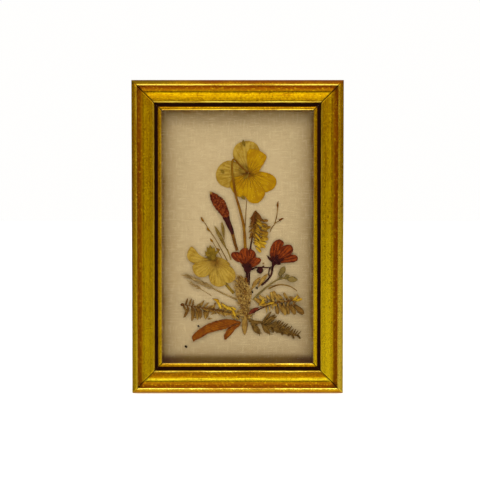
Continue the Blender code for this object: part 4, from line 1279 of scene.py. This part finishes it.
LEFT = [(0.6, -39.4), (-3.4, -37.6), (-10.0, -35.6), (-16.0, -34.7), (-21.4, -33.8), (-26.4, -33.2)]
shape = new_shape()
stem(shape, LEFT, even(0.8, 0.35), LAYER_H["B"])
seed_head(shape, (-26.9, -33.1), 10, 2.0, 1.3, LAYER_H["B"])
press("left_vetch", shape, "dark_stem")
set_out("left_vetch_brown", LEFT, 7.8, FLORET, "pale_vetch", "vetch", count=24, splay=2.3, sizes=(3.6, 3.6),
        wildness=0.6, tones=(0.3, 0.9), seed=21, start=0.28)
set_out("left_vetch_hanging", [(-14.0, -36.0), (-18.0, -35.6), (-23.6, -34.6)], 7.6, FLORET, "pale_vetch",
        "vetch", count=9, splay=1.35, both_sides=0.0, sizes=(3.6, 5.6), wildness=0.35, tones=(0.4, 0.8),
        seed=23, start=0.0)
set_out("left_vetch_yellow", [(-2.8, -34.6), (-6.2, -33.0), (-9.6, -31.0), (-12.2, -30.0)], 7.9, BANNER,
        "vetch", count=8, splay=2.6, both_sides=0.0, sizes=(4.4, 4.2), wildness=0.45, tones=(-0.2, 0.2),
        seed=29, start=0.0)
set_out("left_vetch_faded", [(-1.0, -38.4), (-5.0, -36.9), (-9.0, -35.6)], 7.7, FLORET, "pale_vetch",
        "vetch", count=12, splay=2.4, sizes=(3.2, 3.6), wildness=0.5, tones=(0.0, 0.2), seed=27, start=0.0)

RIGHT = [(7.6, -36.9), (12.4, -34.4), (17.7, -32.3), (22.8, -31.5), (26.2, -31.1), (30.2, -30.6)]
press_stem("right_vetch", RIGHT, 0.7, 0.7, "B", "dark_stem")
set_out("right_vetch_brown", RIGHT, 7.8, FLORET, "pale_vetch", "vetch", count=20, splay=2.2,
        sizes=(3.6, 3.0), wildness=0.6, tones=(0.1, 0.6), seed=31, start=0.3)
for seed, row, count, splay, sizes, tone in (
        (33, [(16.6, -31.6), (20.6, -31.0), (24.0, -30.8)], 6, 2.0, (4.4, 4.8), 0.1),
        (36, [(12.6, -33.4), (14.8, -31.6)], 3, 1.35, (4.8, 4.0), 0.0),
        (35, [(19.0, -32.4), (23.0, -32.6), (27.2, -32.4)], 8, -1.35, (4.6, 6.6), 0.5)):
    set_out(f"right_vetch_fan_{seed}", row, 7.6, BANNER, "pale_vetch", "vetch", count=count, splay=splay,
            both_sides=0.0, sizes=sizes, wildness=0.35, tones=(tone, tone + 0.3), seed=seed, start=0.0)
set_out("right_vetch_yellow", [(9.8, -33.4), (12.8, -32.4), (15.6, -32.6)], 7.9, BANNER, "vetch", count=5,
        splay=0.3, sizes=(3.2, 3.2), wildness=0.4, tones=(0.0, 0.2), seed=37, start=0.0)
set_out("right_vetch_tip", [(26.0, -30.9), (28.2, -30.6)], 8.0, BANNER, "vetch", count=5, splay=0.35,
        sizes=(3.2, 2.8), wildness=0.4, tones=(0.0, 0.2), seed=39, start=0.0)

# %% [markdown]
# ## Fine sprigs
# Dry grass-like sprigs carry a few seeds each. The seeds are spindles on thin stems, and the two needle
# leaves beside them are furred along their whole length.

# %% Sprigs and needle leaves
SPRIGS = {
    "seed_sprig_right": ("A", [[(15.8, 2.4), (16.6, 4.4), (17.9, 6.3), (18.9, 9.6), (19.5, 14.0)],
                               [(17.9, 6.3), (19.2, 7.3), (20.6, 8.0)]],
                         [((19.7, 15.6), 86, 3.6, 0.75), ((21.2, 8.4), 28, 3.2, 0.75)]),
    "seed_sprig_left": ("A", [[(-16.2, 7.2), (-14.2, 4.0), (-10.6, -1.4), (-8.0, -6.0), (-5.0, -11.6)]],
                        [((-17.0, 8.5), 122, 3.2, 0.9), ((-14.2, 3.7), 130, 2.4, 0.9)]),
    "seed_sprig_small": ("C", [[(-12.2, -2.4), (-11.0, -4.4), (-9.4, -7.0), (-7.6, -10.2)]],
                         [((-12.6, -1.6), 128, 2.4, 0.9), ((-9.4, -5.9), 150, 2.2, 0.8)]),
    "thin_stem": ("A", [[(4.4, 17.8), (4.0, 11.0), (3.6, 3.4)]], []),
}
for name, (layer, runs, seeds) in SPRIGS.items():
    shape = new_shape()
    for run in runs:
        stem(shape, run, even(0.34, 0.42), LAYER_H[layer])
    press(name, shape, "dry_stem")
    if seeds:
        shape = new_shape()
        for centre, heading, length, width in seeds:
            seed_head(shape, centre, heading, length, width, LAYER_H[layer] + 0.2)
        keep(name + "_seeds", shape, "brown_stem")

NEEDLES = (((-4.6, -7.4), (-11.2, 5.4), 1.7), ((-6.4, -1.6), (-7.6, 7.4), 1.4))
shape = new_shape()
for base, tip, width in NEEDLES:
    blade(shape, base, tip, width, LAYER_H["B"], fullest=0.6)
stem(shape, [(-5.0, -6.0), (-4.2, -8.4), (-3.2, -11.2)], even(0.7, 0.6), LAYER_H["B"])
press("needle_leaves", shape, "olive_leaf")
fur = new_shape()
for base, tip, width in NEEDLES:
    blade(fur, base, tip, width, LAYER_H["B"] + 0.1, fullest=0.6, columns=3)
cover("needle_fur", mesh_of(fur, "needle_fur"), HAIR, "olive_leaf", per_square_millimetre=5.0, lean=-2.0,
      wildness=0.5, shortest=0.5, longest=0.8, seed=6)

# %% [markdown]
# ## The pale viola
# A second viola, gone the colour of weak tea. Its green calyx and two leafy sepals stand over the top
# petals, and its stem runs behind the flower down to the bunch.

# %% Pale viola
PALE = (-11.0, -11.6)
PALE_PETALS = {
    "pale_petal_upper_left": ("B", [
        (-11.2, -11.2), (-15.0, -10.4), (-18.4, -8.8), (-20.4, -6.4), (-22.4, -4.7), (-24.0, -6.6),
        (-24.6, -9.6), (-23.2, -12.0), (-20.4, -13.0), (-15.4, -13.6)]),
    "pale_petal_lower_left": ("C", [
        (-11.0, -12.0), (-15.6, -11.8), (-19.6, -12.4), (-21.8, -13.8), (-21.8, -16.2), (-20.4, -18.6),
        (-18.0, -19.7), (-15.2, -19.2), (-12.4, -16.6)]),
    "pale_petal_bottom": ("B", [
        (-10.8, -12.2), (-13.2, -15.6), (-14.0, -19.0), (-13.2, -22.2), (-10.8, -24.0), (-8.0, -24.2),
        (-5.6, -22.8), (-5.0, -19.0), (-7.4, -14.8)]),
    "pale_petal_right": ("C", [
        (-10.8, -11.6), (-8.0, -11.0), (-4.6, -13.4), (-1.8, -16.0), (-0.9, -18.8), (-1.8, -21.2),
        (-4.2, -22.5), (-7.0, -21.4), (-9.2, -17.6)]),
    "pale_petal_narrow": ("B", [
        (-11.6, -9.8), (-9.4, -9.9), (-6.6, -10.8), (-4.2, -12.6), (-3.6, -13.8), (-6.2, -13.2),
        (-9.4, -12.0)]),
}
for name, (layer, outline) in PALE_PETALS.items():
    shape = new_shape()
    petal(shape, outline, PALE, LAYER_H[layer], folds=8)
    press(name, shape, "pale_petal")
press_stem("pale_viola_stem", [(-13.0, -5.0), (-12.6, -8.4), (-11.2, -12.0), (-9.4, -17.6), (-6.2, -22.4),
                               (-1.9, -27.6)], 1.0, 1.5, "A", "green_stem")
shape = new_shape()
for tip, width, lean in (((-15.9, -7.0), 2.6, -0.3), ((-14.9, -4.9), 2.8, -0.2), ((-13.4, -3.9), 3.0, 0.0),
                         ((-11.4, -4.9), 2.6, 0.2), ((-10.4, -7.4), 2.4, 0.3)):
    blade(shape, (-12.3, -11.2), tip, width, LAYER_H["C"] - 0.1 + lean * 0.3, lean=lean, fullest=0.42)
for base, tip, width in (((-11.6, -9.2), (-8.6, -6.2), 1.3), ((-12.2, -8.0), (-16.2, -8.9), 1.2)):
    blade(shape, base, tip, width, LAYER_H["C"] + 0.15, lean=0.25, fullest=0.4)
keep("pale_viola_calyx", shape, "calyx")

# %% [markdown]
# ## The red flowers
# Two small flowers of rust and wine red, their petals finely ribbed and dark at the rim. Each sits in an
# almost black calyx, with narrow sepals turned back. Between them a round bud hangs on a thin arch.

# %% Red flowers
RED_FLOWERS = {
    "mid_flower_petal": ((4.7, -15.6), [
        ("B", [
            (3.6, -14.8), (1.4, -12.6), (-0.8, -11.8), (-2.6, -10.2), (-3.2, -8.6), (-2.2, -7.4),
            (0.2, -7.4), (1.6, -8.4), (3.8, -10.6), (5.0, -13.6)]),
        ("C", [
            (4.0, -14.8), (1.6, -11.2), (0.6, -8.4), (1.6, -6.2), (3.4, -5.2), (5.0, -5.7), (5.6, -8.6),
            (5.3, -13.2)]),
        ("B", [
            (4.8, -14.6), (4.8, -10.0), (5.2, -6.6), (6.4, -5.9), (8.0, -6.8), (8.9, -8.8), (8.2, -11.4),
            (6.0, -14.6)]),
        ("C", [
            (5.6, -15.2), (6.2, -12.0), (7.6, -10.2), (9.4, -10.0), (11.2, -10.6), (11.2, -12.0),
            (9.8, -13.6), (7.8, -14.6)]),
    ]),
    "right_flower_petal": ((17.6, -12.6), [
        ("B", [
            (16.6, -11.8), (15.7, -8.6), (16.1, -5.2), (17.6, -2.5), (20.0, -1.2), (22.0, -2.0),
            (22.4, -3.6), (20.8, -6.0), (19.0, -10.6)]),
        ("C", [
            (18.0, -11.2), (19.2, -7.8), (21.2, -5.2), (23.8, -3.8), (26.2, -4.2), (27.0, -5.9),
            (26.2, -8.0), (22.8, -10.2), (19.4, -11.8)]),
        ("B", [
            (18.4, -12.2), (21.2, -10.0), (25.4, -8.6), (28.4, -9.0), (29.4, -10.5), (28.0, -12.1),
            (24.2, -12.6), (20.6, -12.8)]),
    ]),
}
for family, (base, petals) in RED_FLOWERS.items():
    for n, (layer, outline) in enumerate(petals, 1):
        shape = new_shape()
        petal(shape, outline, base, LAYER_H[layer], folds=7, ruffle=0.1)
        press(f"{family}_{n}", shape, "red_petal")

shape = new_shape()
stem(shape, [(4.8, -13.0), (4.8, -14.6), (4.9, -16.6), (5.0, -17.6)], swell(1.5, 2.6, 0.4, 0.4),
     LAYER_H["C"] + 0.1, flat=0.2, sides=12)
stem(shape, [(4.5, -16.8), (4.6, -19.6), (4.7, -24.6)], even(1.2, 0.8), LAYER_H["A"])
stem(shape, [(5.6, -17.0), (5.7, -19.6), (5.5, -23.4)], even(0.9, 0.7), LAYER_H["A"] + 0.1)
for base, tip, width in (((4.0, -15.6), (1.7, -13.4), 0.7), ((4.6, -15.2), (4.6, -12.2), 1.0),
                         ((3.9, -15.0), (3.0, -12.8), 0.8), ((5.6, -15.2), (6.6, -13.0), 0.9),
                         ((5.6, -16.2), (8.4, -15.2), 0.9)):
    blade(shape, base, tip, width, LAYER_H["C"] + 0.18)
press("mid_flower_stem", shape, "black_stem")

shape = new_shape()
stem(shape, [(18.6, -11.2), (17.8, -12.6), (17.2, -14.0)], swell(1.2, 1.8, 0.35, 0.4), LAYER_H["C"] + 0.1,
     flat=0.2, sides=12)
stem(shape, [(17.3, -13.4), (16.9, -16.0), (16.4, -18.4), (14.4, -21.2), (11.6, -23.8)], even(1.0, 0.8),
     LAYER_H["A"])
stem(shape, [(17.0, -14.4), (15.6, -15.4), (15.2, -18.4), (15.9, -19.4)], even(0.6, 0.5), LAYER_H["A"] + 0.2)
for base, tip, width in (((17.2, -12.6), (14.1, -8.8), 1.1), ((18.0, -12.8), (21.2, -13.2), 1.2),
                         ((18.0, -12.2), (19.6, -8.6), 1.6), ((18.2, -12.4), (22.6, -10.6), 1.5),
                         ((17.6, -12.4), (17.2, -9.2), 1.1)):
    blade(shape, base, tip, width, LAYER_H["C"] + 0.18)
press("right_flower_stem", shape, "black_stem")

shape = new_shape()
stem(shape, [(7.0, -15.8), (8.6, -15.0), (10.6, -14.8), (13.0, -14.9), (15.4, -15.0), (16.4, -15.6)],
     even(0.7, 0.5), LAYER_H["B"])
petal(shape, [(10.9, -14.7), (12.1, -15.2), (12.5, -16.4), (11.8, -17.6), (10.8, -17.9), (9.7, -17.4),
              (9.3, -16.3), (9.8, -15.2)], (10.9, -14.7), LAYER_H["B"] + 0.25, droop=0.4, folds=3, rings=5)
blade(shape, (11.8, -15.0), (13.0, -14.0), 0.8, LAYER_H["B"] + 0.3)
blade(shape, (10.2, -15.2), (9.2, -16.6), 0.7, LAYER_H["B"] + 0.3)
press("round_bud", shape, "black_stem")

# %% [markdown]
# ## Leaves of the bunch
# A grey-green sprig with blunt leaves, two straw-coloured bracts edged in black, and low down the
# furred main stem that all the others are gathered to.

# %% Leafy sprig, bracts and furred stem
shape = new_shape()
stem(shape, [(7.6, -30.8), (9.8, -28.2), (12.4, -25.9), (16.0, -23.0), (19.4, -20.8), (21.4, -18.8)],
     even(1.1, 0.7), LAYER_H["B"])
stem(shape, [(19.4, -20.9), (21.6, -20.2), (24.4, -20.6)], even(0.7, 0.5), LAYER_H["B"])
for base, tip, width, fullest in (
        ((21.2, -19.0), (22.8, -14.2), 2.7, 0.55), ((21.0, -19.6), (20.4, -16.6), 1.5, 0.5),
        ((22.6, -20.2), (25.4, -18.7), 2.0, 0.5), ((20.2, -20.6), (22.8, -19.9), 1.2, 0.5)):
    blade(shape, base, tip, width, LAYER_H["B"] + 0.15, lean=0.15, fullest=fullest)
press("leafy_sprig", shape, "grey_leaf")
shape = new_shape()
blade(shape, (23.6, -20.5), (29.3, -20.9), 2.9, LAYER_H["C"], lean=0.1, fullest=0.52)
press("leafy_sprig_tip", shape, "grey_leaf")
press_stem("leafy_sprig_branch", [(15.0, -25.2), (18.0, -23.9), (21.0, -23.3), (24.6, -23.8), (27.0, -24.9),
                                  (29.0, -26.4)], 0.9, 0.45, "B", "dry_stem")
for name, base, tip, width in (("bract_lower", (6.4, -26.2), (11.2, -19.4), 2.0),
                               ("bract_upper", (9.8, -24.8), (14.8, -17.8), 2.0)):
    shape = new_shape()
    blade(shape, base, tip, width, LAYER_H["C"], lean=0.35, fullest=0.55)
    press(name, shape, "ochre_leaf")

FURRED = [(2.4, -20.0), (2.8, -24.0), (3.3, -29.0), (3.7, -35.0), (3.9, -39.2)]
shape = new_shape()
stem(shape, FURRED, lambda t: 4.4 - 2.4 * t * t, LAYER_H["B"] - 0.05, flat=0.1, sides=16)
press("hairy_stem", shape, "brown_stem")
fur = new_shape()
leaf(fur, [(0.2, -19.6), (-0.9, -23.0), (-0.8, -27.0), (0.7, -32.4), (2.4, -38.6)],
     [(3.4, -19.8), (4.6, -23.0), (6.8, -27.6), (6.3, -33.0), (4.9, -38.6)], LAYER_H["B"] + 0.3, columns=6)
cover("stem_fur", mesh_of(fur, "stem_fur"), HAIR, "moss", per_square_millimetre=3.4, lean=-1.9, wildness=1.1,
      shortest=1.0, longest=2.2, seed=9)
dark_fur = new_shape()
leaf(dark_fur, [(0.4, -19.8), (-0.4, -23.0), (0.0, -27.0), (1.5, -32.4), (2.8, -38.6)],
     [(3.2, -20.0), (4.2, -23.0), (6.0, -27.6), (5.6, -33.0), (4.7, -38.6)], LAYER_H["B"] + 0.4, columns=6)
cover("stem_fur_dark", mesh_of(dark_fur, "stem_fur_dark"), HAIR, "fur_dark", "moss",
      per_square_millimetre=1.0, lean=-1.9, wildness=1.5, shortest=0.8, longest=1.8, seed=10)

# %% [markdown]
# ## Grasses and the lower leaves
# A bent grass head and a thinner one reach to the left. Below lie a burnt-orange leaf in two pieces, a
# blunt pale leaf, and the dark comb-toothed leaf of a yarrow.

# %% Grasses
GRASS = [(-0.6, -30.6), (-2.8, -29.5), (-7.4, -27.5), (-11.2, -25.5), (-15.6, -23.2), (-19.9, -21.0),
         (-24.6, -18.9)]
press_stem("grass_head", GRASS, 0.9, 0.45, "A", "dry_grass")
set_out("grass_spikelets", GRASS, 7.5, SPIKELET, "dry_grass", count=22, splay=0.32, sizes=(3.4, 2.6),
        wildness=0.14, tones=(0.0, 0.4), seed=41, start=0.46)
THIN = [(-12.8, -28.6), (-16.8, -26.2), (-20.0, -24.2), (-24.6, -21.0)]
press_stem("grass_spikelet", THIN, 0.4, 0.3, "B", "dry_grass")
set_out("thin_grass_spikelets", THIN, 7.8, SPIKELET, "dry_grass", count=8, splay=0.35, sizes=(2.6, 1.8),
        wildness=0.15, tones=(0.3, 0.7), seed=43, start=0.4, end=0.8)

# %% Lower leaves
shape = new_shape()
upper = [(1.4, -41.2), (-3.6, -40.2), (-7.4, -40.3), (-11.2, -41.2), (-15.0, -42.7), (-18.9, -45.2),
         (-21.6, -47.6), (-22.4, -49.2)]
lower = [(1.4, -41.8), (-2.4, -43.0), (-5.8, -44.9), (-9.6, -45.8), (-14.0, -47.0), (-17.4, -49.0),
         (-19.6, -50.0), (-21.6, -51.2)]
leaf(shape, upper, lower, LAYER_H["B"], columns=12, fray=0.25, crease=0.2)
press("orange_leaf_long", shape, "orange_leaf")
shape = new_shape()
leaf(shape, [(1.6, -41.6), (-0.9, -42.8), (-3.4, -43.6), (-5.2, -45.4), (-6.7, -48.2), (-6.6, -50.0)],
     [(1.6, -42.2), (1.0, -43.4), (-0.9, -45.0), (-2.4, -46.9), (-4.0, -48.6), (-6.0, -50.4)],
     LAYER_H["A"] + 0.1, columns=10, fray=0.3, crease=0.2)
press("orange_leaf_short", shape, "orange_leaf")
shape = new_shape()
leaf(shape, [(3.0, -38.6), (2.2, -40.6), (1.9, -43.0), (2.4, -46.0), (3.3, -47.8)],
     [(4.2, -38.6), (4.8, -40.6), (5.0, -43.0), (4.4, -46.2), (3.6, -47.9)], LAYER_H["C"], columns=8)
press("tongue_leaf", shape, "ochre_leaf")
shape = new_shape()
blade(shape, (5.3, -37.7), (10.5, -34.3), 2.0, LAYER_H["C"], lean=0.2)
press("dark_red_leaf", shape, "dark_red_leaf")

FROND = [(5.4, -40.6), (8.6, -41.5), (12.6, -42.0), (16.6, -43.8), (21.0, -45.6), (25.6, -47.2),
         (30.2, -48.3)]
shape = new_shape()
stem(shape, FROND, even(1.8, 0.6), LAYER_H["B"])
stem(shape, [(6.2, -41.0), (8.4, -43.4), (10.8, -47.0)], even(1.0, 0.5), LAYER_H["B"])
stem(shape, [(11.2, -41.8), (13.4, -44.4), (15.6, -47.2)], even(0.9, 0.5), LAYER_H["B"])
blade(shape, (12.6, -42.8), (30.4, -48.5), 2.9, LAYER_H["B"] - 0.05, lean=-0.12, fullest=0.4)
blade(shape, (6.0, -41.2), (11.0, -47.4), 2.9, LAYER_H["B"] - 0.05, lean=-0.1, fullest=0.62)
blade(shape, (11.4, -42.0), (15.7, -47.4), 2.5, LAYER_H["B"] - 0.05, lean=-0.1, fullest=0.6)
press("fern_leaf", shape, "dark_leaf")
set_out("fern_upper_combs", FROND, 7.9, SPIKELET, "dark_leaf", count=19, splay=1.15, both_sides=0.0,
        sizes=(6.0, 2.6), wildness=0.22, tones=(0.0, 0.4), seed=51, start=0.26, end=0.95)
set_out("fern_lower_combs", FROND, 7.7, COMB, "dark_leaf", count=6, splay=-0.7, both_sides=0.0,
        sizes=(3.4, 2.0), wildness=0.15, tones=(0.1, 0.3), seed=53, start=0.42, end=0.95)
for seed, run in ((55, [(6.2, -41.0), (8.4, -43.4), (10.9, -47.2)]),
                  (57, [(11.2, -41.8), (13.4, -44.4), (15.7, -47.3)])):
    set_out(f"fern_hanging_combs_{seed}", run, 7.75, SPIKELET, "dark_leaf", count=12, splay=0.7,
            sizes=(2.4, 1.6), wildness=0.25, tones=(0.1, 0.4), seed=seed, start=0.1)

# %% [markdown]
# ## Crumbs and specks
# Bits have broken off over the years and lie loose under the glass: dark specks of dirt, florets
# that dropped from the vetches, and crumbs where the stems are bunched together.

# %% Crumbs
shape = new_shape()
for x, z, size in ((-25.2, -53.7, 1.2), (-19.1, -43.7, 1.0), (7.0, -26.9, 1.1), (9.4, -25.0, 1.0),
                   (24.4, -32.6, 0.8)):
    stem(shape, [(x - size / 2, z - 0.1), (x - size / 5, z + 0.1), (x + size / 5, z),
                 (x + size / 2, z + 0.1)], lambda t, size=size: 0.1 + size * math.sin(math.pi * t) ** 0.6,
         LAYER_H["A"], flat=0.4, steps=4)
keep("dirt_specks", shape, "black_speck")
shape = new_shape()
for x, z, heading, length in ((-21.2, -39.5, -10, 2.2), (-13.5, -40.1, 0, 2.4), (12.6, -13.0, 8, 1.0),
                              (-12.0, -37.6, 20, 2.0), (0.4, -36.4, 60, 1.8), (1.8, -37.6, 120, 1.6)):
    seed_head(shape, (x, z), heading, length, 0.6, LAYER_H["A"])
keep("fallen_florets", shape, "ochre_leaf")
bed = new_shape()
leaf(bed, [(-3.6, -36.4), (-3.0, -38.0), (-1.0, -40.2)], [(5.6, -35.0), (8.0, -37.0), (6.0, -40.6)], 7.5,
     columns=4)
cover("crumbs", mesh_of(bed, "crumb_bed"), GRAIN, "moss", per_square_millimetre=2.2, lean=1.0, wildness=2.0,
      shortest=0.3, longest=0.9, seed=12)
for template in (FLORET, BANNER, SPIKELET, HAIR, GRAIN, COMB):
    bpy.data.objects.remove(template)

# %% [markdown]
# ## Stage, light and camera
# The frame stands on a pale floor in even daylight. Metal shows only what it mirrors, so the room is
# brighter above than below and dimmer at the sides: that is what draws the moulding's bands. A broad soft
# lamp above the front gives the upward-facing edges their glint.


# %% Stage
def pale_floor():
    """A floor that is almost white."""
    material, tree, shader = start_finish("pale_floor")
    colour = paint(tree, screen(252, 252, 251), (clouds(tree, object_place(tree), 400.0),
                                                 screen(249, 249, 248)))
    feed(tree, shader, {"Base Color": colour, "Roughness": 0.9, "Emission Color": (1.0, 1.0, 1.0, 1.0),
                        "Emission Strength": 0.4})
    return material


low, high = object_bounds()
floor_shape = bmesh.new()
bmesh.ops.create_grid(floor_shape, x_segments=8, y_segments=8, size=4.0)
bmesh.ops.translate(floor_shape, verts=floor_shape.verts, vec=(0.0, 0.0, low.z))
floor_mesh = mesh_of(floor_shape, "floor")
floor_mesh.materials.append(pale_floor())
floor = bpy.data.objects.new("floor", floor_mesh)
bpy.context.scene.collection.objects.link(floor)
floor.visible_glossy = False
floor.visible_transmission = False  # the back face of the glass mirrors through its front face

# %% Light
# The brightest level, and the shares of it at both sides, on the right, behind, and round the viewer.
BRIGHTEST, SIDE, RIGHT_SIDE, BEHIND, VIEWER = 2.0, 0.56, 1.3, 0.45, 0.08
world = bpy.data.worlds.new("daylight")
world.use_nodes = True
bpy.context.scene.world = world
tree = world.node_tree
way = node(tree, "ShaderNodeTexCoord", out="Generated")
east, north, up = node(tree, "ShaderNodeSeparateXYZ", {0: way}, None).outputs
heights = [(-1.0, 0.75), (-0.8, 0.9), (-0.62, 0.7), (-0.36, 0.26), (-0.16, 0.2), (0.04, 0.12), (0.14, 0.34),
           (0.28, 0.7), (0.6, 0.72), (0.85, 0.53), (1.0, 0.4)]
grey = [((height + 1) / 2, (shade, shade, shade, 1.0)) for height, shade in heights]
level = ramp(tree, times(tree, plus(tree, up, 1.0), 0.5), grey)
beside = ease(tree, calc(tree, "ABSOLUTE", east), 0.15, 0.75, 1.0, SIDE)
level = times(tree, node(tree, "ShaderNodeRGBToBW", {0: level}), BRIGHTEST, beside,
              ease(tree, east, 0.0, 0.4, 1.0, RIGHT_SIDE), ease(tree, north, -0.1, 0.5, 1.0, BEHIND),
              ease(tree, north, -0.975, -0.945, VIEWER, 1.0))
level = calc(tree, "MAXIMUM", level, node(tree, "ShaderNodeLightPath", out="Is Camera Ray"))
backdrop = tree.nodes["Background"]
backdrop.inputs["Color"].default_value = (1.0, 0.995, 0.985, 1.0)
tree.links.new(level, backdrop.inputs["Strength"])


def soft_lamp(name, place, width, height, power):
    """A broad lamp that looks at the middle of the frame."""
    lamp = bpy.data.lights.new(name, "AREA")
    lamp.shape = "RECTANGLE"
    lamp.size, lamp.size_y = width, height
    lamp.energy = power
    holder = bpy.data.objects.new(name, lamp)
    holder.location = place
    holder.rotation_euler = (Vector((0.0, 0.0, MIDDLE_Z)) - Vector(place)).to_track_quat("-Z", "Y").to_euler()
    bpy.context.scene.collection.objects.link(holder)


soft_lamp("strip", (0.0, -0.55, 0.60), 1.4, 0.06, 2.0)
soft_lamp("floor_wash", (0.0, -0.2, 1.6), 2.4, 2.4, 7.0)

# %% Camera
ELEVATION = math.radians(2.1)
DISTANCE = 0.5432
front = Vector((0.0, -0.0165, MIDDLE_Z))
framing = Vector((1.16 * MM, 0.0, -1.2 * MM))  # the frame hangs a little left of and above the middle
camera = bpy.data.cameras.new("camera")
camera.lens, camera.sensor_width = 85.0, 36.0
holder = bpy.data.objects.new("camera", camera)
back = Vector((0.0, -math.cos(ELEVATION), math.sin(ELEVATION)))
holder.location = front + framing + back * DISTANCE
holder.rotation_euler = (-back).to_track_quat("-Z", "Y").to_euler()
bpy.context.scene.collection.objects.link(holder)
bpy.context.scene.camera = holder
bpy.context.scene.view_settings.view_transform = "Standard"
